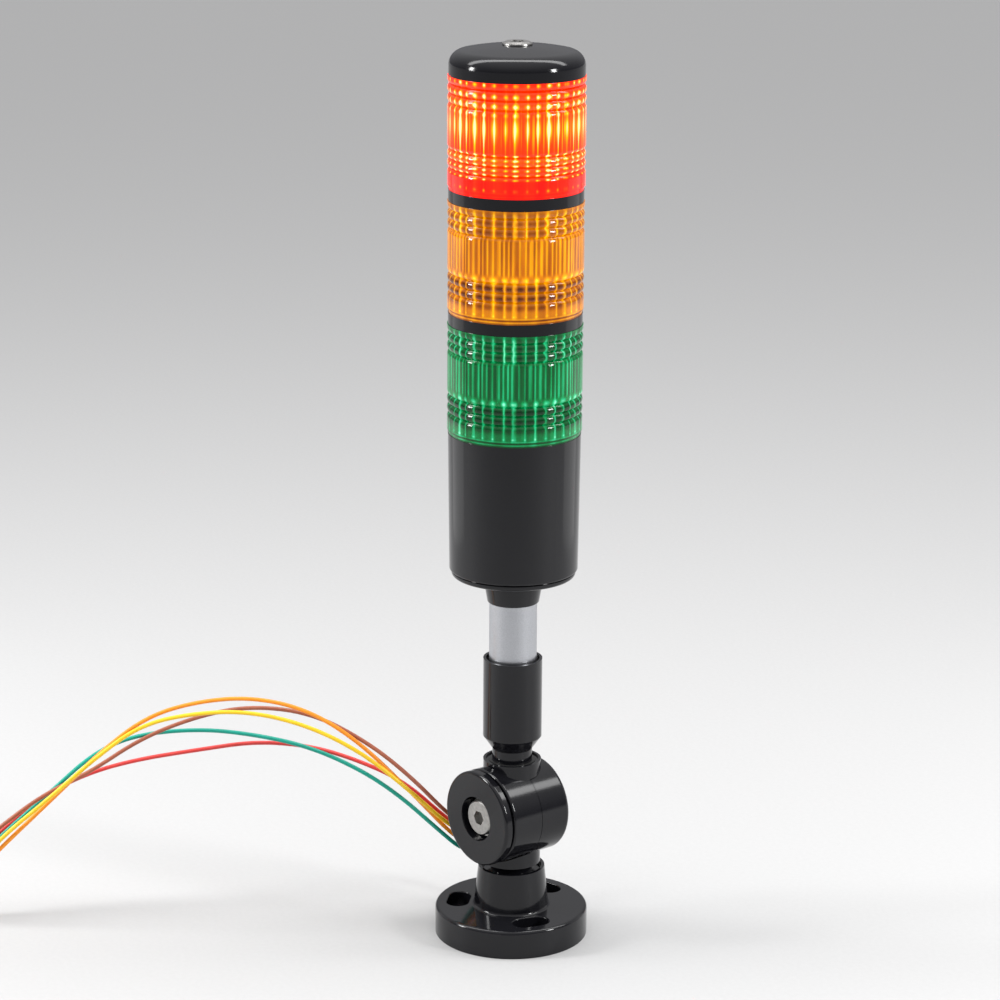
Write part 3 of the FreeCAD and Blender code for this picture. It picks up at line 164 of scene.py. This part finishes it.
def spline_length(curve_object):
    """Length of the curve's centre line, measured with its thickness off."""
    depsgraph = bpy.context.evaluated_depsgraph_get()
    bevel = curve_object.data.bevel_depth
    curve_object.data.bevel_depth = 0
    depsgraph.update()
    mesh = bpy.data.meshes.new_from_object(curve_object.evaluated_get(depsgraph))
    curve_object.data.bevel_depth = bevel
    places = [vertex.co for vertex in mesh.vertices]
    total = sum((after - before).length for before, after in zip(places, places[1:]))
    bpy.data.meshes.remove(mesh)
    return total


def make_lead(colour, corners, material):
    start = lead_start(RING_PLACES[colour])
    route = start + [Vector(corner) for corner in corners]
    route += coil_points(route[-1])
    curve = bpy.data.curves.new(f"{colour}_wire", "CURVE")
    curve.dimensions = "3D"
    # The points carry the real radius, because a curve's box grows by its points' radius.
    curve.bevel_depth = 1.0
    curve.bevel_resolution = ROUND_STEPS
    curve.use_fill_caps = True
    curve.materials.append(material)
    spline = curve.splines.new("NURBS")
    spline.points.add(len(route) - 1)
    for point, place in zip(spline.points, route):
        point.co = (*(place * MM), 1)
        point.radius = LEAD_DIA / 2 * MM
    spline.order_u = SPLINE_ORDER
    spline.use_endpoint_u = True
    spline.resolution_u = SPLINE_STEPS
    wire = bpy.data.objects.new(f"{colour}_wire", curve)
    bpy.context.scene.collection.objects.link(wire)
    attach(wire, "foot")
    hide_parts(f"{colour}_lead", f"{colour}_lead_coil")
    spline_length(wire)


# --- Node graphs ----------------------------------------------------------------------------------


class Graph:
    """The nodes of a material or world. Its calls take and give output sockets."""

    def __init__(self, owner):
        owner.use_nodes = True
        self.owner = owner
        self.nodes = owner.node_tree.nodes
        self.links = owner.node_tree.links

    def feed(self, node, inputs):
        """Link each input to an output socket, or set it to a plain value."""
        for key, value in inputs.items():
            if isinstance(value, bpy.types.NodeSocket):
                self.links.new(value, node.inputs[key])
            else:
                node.inputs[key].default_value = value

    def add(self, kind, inputs=None, **settings):
        node = self.nodes.new(kind)
        for name, value in settings.items():
            setattr(node, name, value)
        self.feed(node, inputs or {})
        return node

    def calculate(self, operation, *values):
        return self.add("ShaderNodeMath", dict(enumerate(values)), operation=operation).outputs[0]

    def plus(self, first, second):
        return self.calculate("ADD", first, second)

    def minus(self, first, second):
        return self.calculate("SUBTRACT", first, second)

    def times(self, first, second):
        return self.calculate("MULTIPLY", first, second)

    def weigh(self, values, weights):
        """Sum of the named values, each times its weight."""
        total = None
        for name, weight in weights.items():
            part = self.times(values[name], weight)
            total = part if total is None else self.plus(total, part)
        return total

    def noise(self, scale, detail, stretch=(1, 1, 1)):
        place = self.add("ShaderNodeTexCoord").outputs["Object"]
        mapping = self.add("ShaderNodeMapping", {"Vector": place, "Scale": stretch})
        noise = self.add("ShaderNodeTexNoise",
                         {"Vector": mapping.outputs["Vector"], "Scale": scale, "Detail": detail})
        return noise.outputs["Fac"]

    def spread(self, value, low, high):
        """Map 0..1 to low..high."""
        inputs = {"Value": value, "To Min": low, "To Max": high}
        return self.add("ShaderNodeMapRange", inputs).outputs["Result"]

    def ease(self, value, low, high, to_low=0.0, to_high=1.0):
        """Map low..high smoothly to to_low..to_high, and hold it beyond them."""
        inputs = {"Value": value, "From Min": low, "From Max": high,
                  "To Min": to_low, "To Max": to_high}
        spread = self.add("ShaderNodeMapRange", inputs, interpolation_type="SMOOTHSTEP")
        return spread.outputs["Result"]

    def zone(self, value, ends, beyond=0.0):
        """1 between the two middle ends, 0 below the first and so much beyond the last."""
        rising = self.ease(value, ends[0], ends[1])
        return self.times(rising, self.ease(value, ends[2], ends[3], 1.0, beyond))

    def bell(self, value, middle, width):
        """1 at the middle and falling smoothly to 0 on both sides."""
        away = self.calculate("DIVIDE", self.minus(value, middle), width)
        return self.calculate("EXPONENT", self.times(self.times(away, away), -1.0))

    def bells(self, value, rows, width):
        """One bell for each (middle, weight) row."""
        peaks = {middle: self.bell(value, middle, width) for middle, _ in rows}
        return self.weigh(peaks, dict(rows))

    def comb(self, value, frequency, sharpness, shift=0.0):
        """Narrow peaks from 0 to 1, so many to each 2 pi of the value."""
        wave = self.calculate("COSINE", self.plus(self.times(value, frequency), shift))
        half = self.times(self.plus(wave, 1.0), 0.5)
        return self.calculate("POWER", half, sharpness)

    def mix(self, factor, low, high):
        inputs = {0: factor, 6: (*low, 1), 7: (*high, 1)}
        return self.add("ShaderNodeMix", inputs, data_type="RGBA").outputs[2]

    def ramp(self, value, stops):
        ramp = self.add("ShaderNodeValToRGB", {0: value})
        elements = ramp.color_ramp.elements
        while len(elements) < len(stops):
            elements.new(0.5)
        for element, (place, colour) in zip(elements, stops):
            element.position = place
            element.color = (*colour, 1)
        return ramp.outputs[0]


class Finish(Graph):
    """A material with one Principled shader."""

    def __init__(self, name):
        super().__init__(bpy.data.materials.new(name))
        self.shader = self.nodes["Principled BSDF"]

    def shade(self, **inputs):
        """Feed the shader's inputs, with _ for each space of their names, and give the material."""
        self.feed(self.shader, {name.replace("_", " "): value for name, value in inputs.items()})
        return self.owner

    def bump(self, value, strength, depth):
        inputs = {"Height": value, "Strength": strength, "Distance": depth}
        return self.add("ShaderNodeBump", inputs).outputs["Normal"]


# --- Plain materials ------------------------------------------------------------------------------

BLACK_LOW = (0.0045, 0.0045, 0.0058)
BLACK_SPREAD = 1.7
BLACK_HIGH = tuple(value * BLACK_SPREAD for value in BLACK_LOW)
LEAD_COLOURS = {
    "orange": ((0.85, 0.24, 0.008), (1.0, 0.36, 0.015)),
    "yellow": ((0.86, 0.52, 0.005), (1.0, 0.66, 0.015)),
    "green": ((0.0, 0.30, 0.22), (0.0, 0.40, 0.30)),
    "red": ((0.60, 0.03, 0.03), (0.78, 0.06, 0.05)),
    "brown": ((0.30, 0.08, 0.04), (0.42, 0.13, 0.07)),
}
# How much paler an LED is where it is cloudy.
CLOUD_PALER = 0.15


def moulded_black(name):
    """Glossy black moulded plastic: slow waviness, and a haze that varies its gloss."""
    finish = Finish(name)
    haze = finish.noise(scale=45.0, detail=4.0)
    slow = finish.noise(scale=70.0, detail=1.0)
    return finish.shade(Base_Color=finish.mix(haze, BLACK_LOW, BLACK_HIGH),
                        Roughness=finish.spread(haze, low=0.07, high=0.15),
                        Specular_IOR_Level=0.35,
                        Normal=finish.bump(slow, strength=0.12, depth=0.0003))


def metal(name, grain, colours, roughness, bump):
    """Bare metal whose colour, gloss and surface all follow one grain, a scale and a detail."""
    finish = Finish(name)
    grain = finish.noise(*grain)
    return finish.shade(Base_Color=finish.mix(grain, *colours),
                        Roughness=finish.spread(grain, *roughness),
                        Metallic=1.0,
                        Normal=finish.bump(grain, *bump))


def satin_aluminium(name):
    """Bead-blasted, anodised tube: bright, with a fine sparkle and an even satin sheen."""
    return metal(name, grain=(2600.0, 2.0),
                 colours=((0.36, 0.37, 0.39), (0.58, 0.59, 0.62)),
                 roughness=(0.28, 0.46), bump=(0.35, 0.00004))


def zinc_steel(name):
    """Bright zinc plating with fine marks and a slight yellow cast."""
    return metal(name, grain=(900.0, 3.0),
                 colours=((0.26, 0.255, 0.245), (0.52, 0.51, 0.49)),
                 roughness=(0.22, 0.42), bump=(0.5, 0.0001))


def plain_plastic(name, low, high, roughness):
    """Plastic, rubber or board that varies slowly between two colours."""
    finish = Finish(name)
    cloud = finish.noise(scale=60.0, detail=4.0)
    return finish.shade(Base_Color=finish.mix(cloud, low, high),
                        Roughness=finish.spread(cloud, roughness * 0.8, roughness * 1.2),
                        Normal=finish.bump(cloud, strength=0.15, depth=0.0001))


def lead_insulation(name, low, high):
    """Soft, satin PVC with a faint unevenness from the extruder."""
    finish = Finish(name)
    drag = finish.noise(scale=160.0, detail=3.0)
    return finish.shade(Base_Color=finish.mix(drag, low, high),
                        Roughness=finish.spread(drag, low=0.30, high=0.44),
                        Subsurface_Weight=0.08,
                        Subsurface_Radius=(0.001, 0.001, 0.001),
                        Normal=finish.bump(drag, strength=0.1, depth=0.00005))


def led_body(name, colour, strength):
    """Moulded LEDs: tinted epoxy, a little cloudy, and lit where the strength is above 0."""
    finish = Finish(name)
    cloud = finish.noise(scale=500.0, detail=2.0)
    pale = tuple(min(1, value + CLOUD_PALER) for value in colour)
    if strength:
        finish.shade(Emission_Color=(*colour, 1), Emission_Strength=strength)
    return finish.shade(Base_Color=finish.mix(cloud, colour, pale),
                        Roughness=finish.spread(cloud, low=0.10, high=0.2))


# --- Lens materials -------------------------------------------------------------------------------
# The pattern is painted light and shade that stands for what flutes and ribs do to light inside the
# lens:
# painted bright bars, streaks, rows and dots, and painted shade in cells and rib valleys. It is
# drawn by the angle round the tower's axis and by the rise, which is the height above the lens's
# foot in millimetres.

LENS_RADIUS = 25.0 * MM
VALLEY_RADIUS = 24.0 * MM
CREST_RADIUS = LENS_RADIUS - 0.2 * MM
FLUTES = 40
FLUTE_WOBBLE = 0.14
LENS_IOR = 1.49
LENS_SPECULAR = 0.22
LENS_TRANSMISSION = 0.45

# Zones between the rises of their four ends.
LOWER_ZONE = (2.6, 4.2, 14.6, 15.6)
MIDDLE_ZONE = (16.5, 19.0, 30.0, 32.0)
UPPER_ZONE = (30.6, 32.0, 39.6, 41.0)
UPPER_BEYOND = 0.4
DOT_ZONE = (6.0, 7.4, 15.4, 16.4)

# Rows of (rise, weight), and the width of each kind.
# Painted shade: rows of dark cells on the ribs, between the bars.
SHADE_CELL_ROWS = ((13.1, 1.0), (9.6, 0.9), (6.3, 0.6), (33.3, 0.55), (36.8, 0.55), (39.8, 0.3))
SHADE_CELL_WIDTH = 1.15
# Painted highlight and shade: bright and dark lines round the lens's foot.
PAINTED_FOOT_RINGS = ((2.2, 0.25), (1.5, -0.55), (0.8, 0.25), (0.2, -0.3))
PAINTED_RING_WIDTH = 0.28
# Painted hot dots of the lit tier, where flutes cross ribs.
HIGH_DOTS = ((40.5, 0.7), (36.5, 1.0), (33.1, 1.1), (30.0, 0.7))
HIGH_DOT_WIDTH = 0.75

# Single rows: rise and width.
# Bands of painted light: a bright foot row and scalloped row on the unlit lenses, and the lit
# tier's glowing core, tail, side and belt.
FOOT_ROW = (3.0, 0.6)
SCALLOP_ROW = (16.2, 1.2)
CORE_ROW = (25.0, 3.4)
TAIL_ROW = (23.0, 12.0)
SIDE_ROW = (23.5, 8.0)
BELT_ROW = (24.0, 11.0)

# Combs: how many peaks to each 2 pi, how sharp, and how far shifted.
# Bright bars and streaks of painted light; the gaps between bars take the painted shade.
BARS = (FLUTES, 4.0)
BROAD_BARS = (FLUTES, 1.2)
MIDDLE_FLUTES = (FLUTES * 2, 1.5, 0.8)
WIDE_STREAKS = (FLUTES, 2.0)
THIN_STREAKS = (FLUTES, 12.0)
EXTRA_STREAKS = (FLUTES * 2, 10.0)
LOW_DOT_PITCH = 1.75
LOW_DOTS = (2 * math.pi / LOW_DOT_PITCH, 2.2, 0.6)

# Noises: scale, detail and stretch. Those with no height in them run straight up the lens.
HAZE_NOISE = (260.0, 3.0, (1, 1, 0.15))
WOBBLE_NOISE = (300.0, 2.0, (1, 1, 0))
LAMP_NOISE = (230.0, 1.0, (1, 1, 0))

# How much each mark brightens or darkens a lens that isn't lit: painted light, painted shade, and
# the haze's random tone.
PAINTED_LENS_BASE = 0.14
PAINTED_LENS_GLOW = 0.45
PAINTED_LENS_LIGHT = {"lower_bars": 0.30, "upper_bars": 0.42, "middle_flutes": 0.42, "middle": -0.14,
               "cells": -0.52, "rings": 0.8, "scallop": 0.50, "foot_row": 0.40, "haze": 0.60}

# How much each mark adds to the lit lens's painted glow: first those that follow single lamps, then
# the rest, where the valleys darken it with painted shade.
PAINTED_LAMP_GLOW = {"core": 0.85, "tail": 0.48, "side": 0.34, "dots": 1.1, "foot_row": 0.45}
PAINTED_BODY_GLOW = {"belt": 0.22, "upper": 0.10, "lower_dots": 0.16, "valleys": -0.14, "haze": 0.12,
             "rings": 0.14}
PAINTED_GLOW_BASE = 0.08
# How deep the painted shade in the upper ribs' valleys is, against the lower ribs.
UPPER_VALLEY_SHADE = 0.85
LAMP_RANGE = (0.36, 0.62, 0.35, 1.0)

LENS_TINTS = {
    "green": ((0.0, (0.0, 0.025, 0.006)), (0.30, (0.0, 0.08, 0.018)), (0.58, (0.0, 0.22, 0.055)),
              (0.82, (0.02, 0.55, 0.24)), (1.0, (0.30, 1.0, 0.66))),
    "amber": ((0.0, (0.10, 0.02, 0.0)), (0.30, (0.36, 0.10, 0.0)), (0.58, (0.66, 0.24, 0.0)),
              (0.82, (0.95, 0.50, 0.0)), (1.0, (1.0, 0.86, 0.02))),
    "red": ((0.3, (0.5, 0.0, 0.0)), (0.7, (0.8, 0.02, 0.0))),
}
# Colours of the lit lens's painted glow, from dim to hot.
PAINTED_GLOW_COLOURS = ((0.0, (0.45, 0.0, 0.0)), (0.16, (1.0, 0.006, 0.0)), (0.36, (1.0, 0.06, 0.0)),
                (0.58, (1.0, 0.32, 0.0)), (0.80, (1.0, 0.85, 0.0)), (1.0, (1.0, 1.0, 0.55)))
LED_TINTS = {"green": (0.25, 0.75, 0.45), "amber": (0.85, 0.55, 0.08), "red": (1.0, 0.22, 0.03)}
LIT_TIER = "red"
LIT_STRENGTH = 8.0


def lens_pattern(finish, foot):
    """The marks that every lens shows, by name."""
    place = finish.add("ShaderNodeTexCoord").outputs["Object"]
    x, y, z = finish.add("ShaderNodeSeparateXYZ", {0: place}).outputs
    angle = finish.calculate("ARCTAN2", y, x)
    radius = finish.calculate("SQRT", finish.plus(finish.times(x, x), finish.times(y, y)))
    rise = finish.times(finish.minus(z, foot), 1 / MM)
    wobble = finish.times(finish.noise(*WOBBLE_NOISE), FLUTE_WOBBLE)
    turned = finish.plus(angle, wobble)
    bars = finish.comb(turned, *BARS)
    return {
        "turned": turned,
        "radius": radius,
        "rise": rise,
        "bars": bars,
        "haze": finish.noise(*HAZE_NOISE),
        "lower": finish.zone(rise, LOWER_ZONE),
        "upper": finish.zone(rise, UPPER_ZONE, UPPER_BEYOND),
        # Painted bright and dark lines round the lens's foot.
        "rings": finish.bells(rise, PAINTED_FOOT_RINGS, PAINTED_RING_WIDTH),
        "foot_row": finish.times(finish.bell(rise, *FOOT_ROW), bars),
    }


def tinted_lens(name, foot, stops):
    """Tinted polycarbonate whose piped light is painted: painted bright bars, painted shade in
    cells, a painted bright scalloped row, and a painted glow though the tier isn't lit.
    """
    finish = Finish(name)
    marks = lens_pattern(finish, foot)
    rise, turned, bars = marks["rise"], marks["turned"], marks["bars"]
    middle = finish.zone(rise, MIDDLE_ZONE)
    gaps = finish.minus(1.0, bars)
    marks["middle"] = middle
    marks["lower_bars"] = finish.times(bars, marks["lower"])
    marks["upper_bars"] = finish.times(bars, marks["upper"])
    marks["middle_flutes"] = finish.times(finish.comb(turned, *MIDDLE_FLUTES), middle)
    # Painted shade in cells between the bars.
    marks["cells"] = finish.times(gaps, finish.bells(rise, SHADE_CELL_ROWS, SHADE_CELL_WIDTH))
    marks["scallop"] = finish.times(finish.bell(rise, *SCALLOP_ROW),
                                    finish.comb(turned, *BROAD_BARS))
    # Painted light: bright bars, flutes, scallop, foot row and rings, with painted shade in the
    # middle zone and the cells.
    painted_level = finish.plus(finish.weigh(marks, PAINTED_LENS_LIGHT), PAINTED_LENS_BASE)
    tint_and_painted_light = finish.ramp(painted_level, stops)
    # Base colour and emission both carry the painted light, so the unlit lens glows though it is no
    # lamp.
    return finish.shade(Base_Color=tint_and_painted_light,
                        Emission_Color=tint_and_painted_light,
                        Emission_Strength=PAINTED_LENS_GLOW,
                        Roughness=finish.spread(marks["haze"], low=0.03, high=0.10),
                        IOR=LENS_IOR,
                        Specular_IOR_Level=LENS_SPECULAR,
                        Transmission_Weight=LENS_TRANSMISSION)


def lit_lens(name, foot, stops):
    """The lit tier: its lamps' light is painted on the lens as emission, with painted hot upright
    streaks, painted dots where flutes cross ribs and painted shade in the rib valleys.
    """
    finish = Finish(name)
    marks = lens_pattern(finish, foot)
    rise, turned = marks["rise"], marks["turned"]
    lamps = finish.ease(finish.noise(*LAMP_NOISE), *LAMP_RANGE)
    wide = finish.comb(turned, *WIDE_STREAKS)
    marks["core"] = finish.times(wide, finish.bell(rise, *CORE_ROW))
    marks["tail"] = finish.times(finish.comb(turned, *THIN_STREAKS), finish.bell(rise, *TAIL_ROW))
    marks["side"] = finish.times(finish.comb(turned, *EXTRA_STREAKS), finish.bell(rise, *SIDE_ROW))
    marks["belt"] = finish.bell(rise, *BELT_ROW)

    low_dots = finish.times(finish.comb(rise, *LOW_DOTS), finish.zone(rise, DOT_ZONE))
    rows = finish.plus(low_dots, finish.bells(rise, HIGH_DOTS, HIGH_DOT_WIDTH))
    marks["dots"] = finish.times(rows, wide)
    marks["lower_dots"] = finish.times(marks["lower"], finish.ease(rise, *DOT_ZONE[:2]))

    # Painted shade in the ribs' valleys.
    valley = finish.minus(1.0, finish.ease(marks["radius"], VALLEY_RADIUS, CREST_RADIUS))
    ribs = finish.plus(marks["lower"], finish.times(marks["upper"], UPPER_VALLEY_SHADE))
    marks["valleys"] = finish.times(valley, ribs)

    # The lamps' light painted on the lens as emission, though the lens is no lamp.
    painted_glow = finish.times(finish.weigh(marks, PAINTED_LAMP_GLOW), lamps)
    painted_glow = finish.plus(painted_glow, finish.weigh(marks, PAINTED_BODY_GLOW))
    painted_glow = finish.plus(painted_glow, PAINTED_GLOW_BASE)
    return finish.shade(Base_Color=finish.ramp(marks["haze"], stops),
                        Emission_Color=finish.ramp(painted_glow, PAINTED_GLOW_COLOURS),
                        Emission_Strength=1.0,
                        Roughness=finish.spread(marks["haze"], low=0.03, high=0.09),
                        IOR=LENS_IOR,
                        Specular_IOR_Level=LENS_SPECULAR,
                        Transmission_Weight=LENS_TRANSMISSION)


# --- Which node wears what ------------------------------------------------------------------------


def dress(material, *names):
    for name in names:
        mesh = NODES[name].data
        mesh.materials.clear()
        mesh.materials.append(material)


def dress_tower():
    dress(moulded_black("black_gloss"), "base_flange", "swivel_lower_half", "swivel_upper_half",
          "clamp_disc", "base_housing", "cap", "amber_tier_band", "red_tier_band", "bottom_cover",
          "pole_sleeve")
    rubber = ((0.012, 0.012, 0.012), (0.03, 0.03, 0.03))
    dress(plain_plastic("black_rubber", *rubber, 0.6), "wire_grommet")
    dress(plain_plastic("ring_rubber", *rubber, 0.5), "collar_ring")
    dress(zinc_steel("zinc_steel"), "pivot_screw", "pivot_washer", "pivot_nut", "cap_screw",
          "rod_nut", "tie_rod")
    dress(plain_plastic("fibre_washer", (0.2, 0.1, 0.05), (0.36, 0.2, 0.12), 0.7),
          "friction_washer")
    dress(satin_aluminium("satin_aluminium"), "pole_tube")
    dress(plain_plastic("board_green", (0.02, 0.16, 0.07), (0.04, 0.24, 0.11), 0.35),
          "control_board")
    dress(plain_plastic("component_black", (0.02, 0.02, 0.02), (0.05, 0.05, 0.05), 0.4),
          "lead_terminal", "buzzer")
    dress(plain_plastic("natural_plastic", (0.66, 0.64, 0.58), (0.82, 0.80, 0.74), 0.4),
          *(f"{colour}_led_post" for colour in LENS_TINTS))
    dress(plain_plastic("board_white", (0.62, 0.60, 0.52), (0.78, 0.76, 0.68), 0.35),
          *(f"{colour}_led_board" for colour in LENS_TINTS))


def dress_tiers():
    for colour, stops in LENS_TINTS.items():
        lit = colour == LIT_TIER
        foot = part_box(f"{colour}_lens")[0][2]
        lens = lit_lens if lit else tinted_lens
        dress(lens(f"{colour}_lens", foot, stops), f"{colour}_lens")
        leds = led_body(f"{colour}_led", LED_TINTS[colour], LIT_STRENGTH if lit else 0.0)
        dress(leds, f"{colour}_leds")


# --- Stage, in metres -----------------------------------------------------------------------------

FLOOR_SIZE = 16.0
FLOOR_LOW = (0.48, 0.48, 0.48)
FLOOR_HIGH = (0.52, 0.52, 0.52)
BACKDROP = (0.70, 0.70, 0.70, 1)
# Height of the direction looked at, from 0 at the horizon to 1 overhead, and the sky's colour.
SKY = ((0.0, (0.14, 0.14, 0.15)), (0.35, (0.36, 0.36, 0.37)), (1.0, (1.0, 1.0, 1.0)))
SKY_STRENGTH = 1.25

# Each lamp's place as steps to the right of, beyond and above the foot's centre, as the camera sees
# it; the height on the axis that it faces; its width and height; and its brightness.
LAMPS = {
    "left_lamp": ((-0.80, -0.12, 0.43), 0.25, (0.12, 0.24), 38),
    "right_lamp": ((0.71, -0.36, 0.43), 0.25, (0.12, 0.24), 38),
    "left_panel": ((-0.42, 0.20, 0.12), 0.13, (0.30, 0.20), 0.5),
    "right_panel": ((0.42, 0.18, 0.12), 0.13, (0.30, 0.20), 0.5),
    "top_box": ((0.0, 0.10, 1.05), 0.3, (3.2, 0.22), 7.5),
}


def make_floor():
    bpy.ops.mesh.primitive_plane_add(size=FLOOR_SIZE, location=(0, 0, 0))
    floor = bpy.context.object
    floor.name = "floor"
    paper = Finish("floor_paper")
    grain = paper.noise(scale=500.0, detail=3.0)
    floor.data.materials.append(paper.shade(Base_Color=paper.mix(grain, FLOOR_LOW, FLOOR_HIGH),
                                            Roughness=0.6,
                                            Specular_IOR_Level=0.3))


def make_world():
    """A soft room, bright overhead and dim at the horizon. The camera sees an even backdrop."""
    world = bpy.data.worlds.new("world")
    bpy.context.scene.world = world
    graph = Graph(world)
    graph.nodes.clear()
    way = graph.add("ShaderNodeTexCoord").outputs["Generated"]
    height = graph.add("ShaderNodeSeparateXYZ", {0: way}).outputs[2]
    room = graph.add("ShaderNodeBackground",
                     {"Color": graph.ramp(height, SKY), "Strength": SKY_STRENGTH})
    seen = graph.add("ShaderNodeBackground", {"Color": BACKDROP, "Strength": 1.0})
    to_camera = graph.add("ShaderNodeLightPath").outputs["Is Camera Ray"]
    mix = graph.add("ShaderNodeMixShader", {0: to_camera, 1: room.outputs[0], 2: seen.outputs[0]})
    graph.add("ShaderNodeOutputWorld", {"Surface": mix.outputs[0]})


def make_lamp(name, steps, aim_height, size, radiance):
    """A soft box of a given brightness, however large it is."""
    right, ahead, up = steps
    place = VIEW_RIGHT * right + VIEW_AHEAD * ahead + UP * up
    data = bpy.data.lights.new(name, "AREA")
    data.shape = "RECTANGLE"
    data.size, data.size_y = size
    data.energy = radiance * math.pi * size[0] * size[1]
    lamp = bpy.data.objects.new(name, data)
    lamp.location = place
    lamp.rotation_euler = (UP * aim_height - place).to_track_quat("-Z", "Y").to_euler()
    lamp.visible_camera = False
    bpy.context.scene.collection.objects.link(lamp)


make_camera()
for colour, corners in LEAD_ROUTES.items():
    make_lead(colour, corners, lead_insulation(f"{colour}_insulation", *LEAD_COLOURS[colour]))
dress_tower()
dress_tiers()
make_floor()
make_world()
for name, (steps, aim_height, size, radiance) in LAMPS.items():
    make_lamp(name, steps, aim_height, size, radiance)
bpy.context.scene.view_settings.view_transform = "Standard"
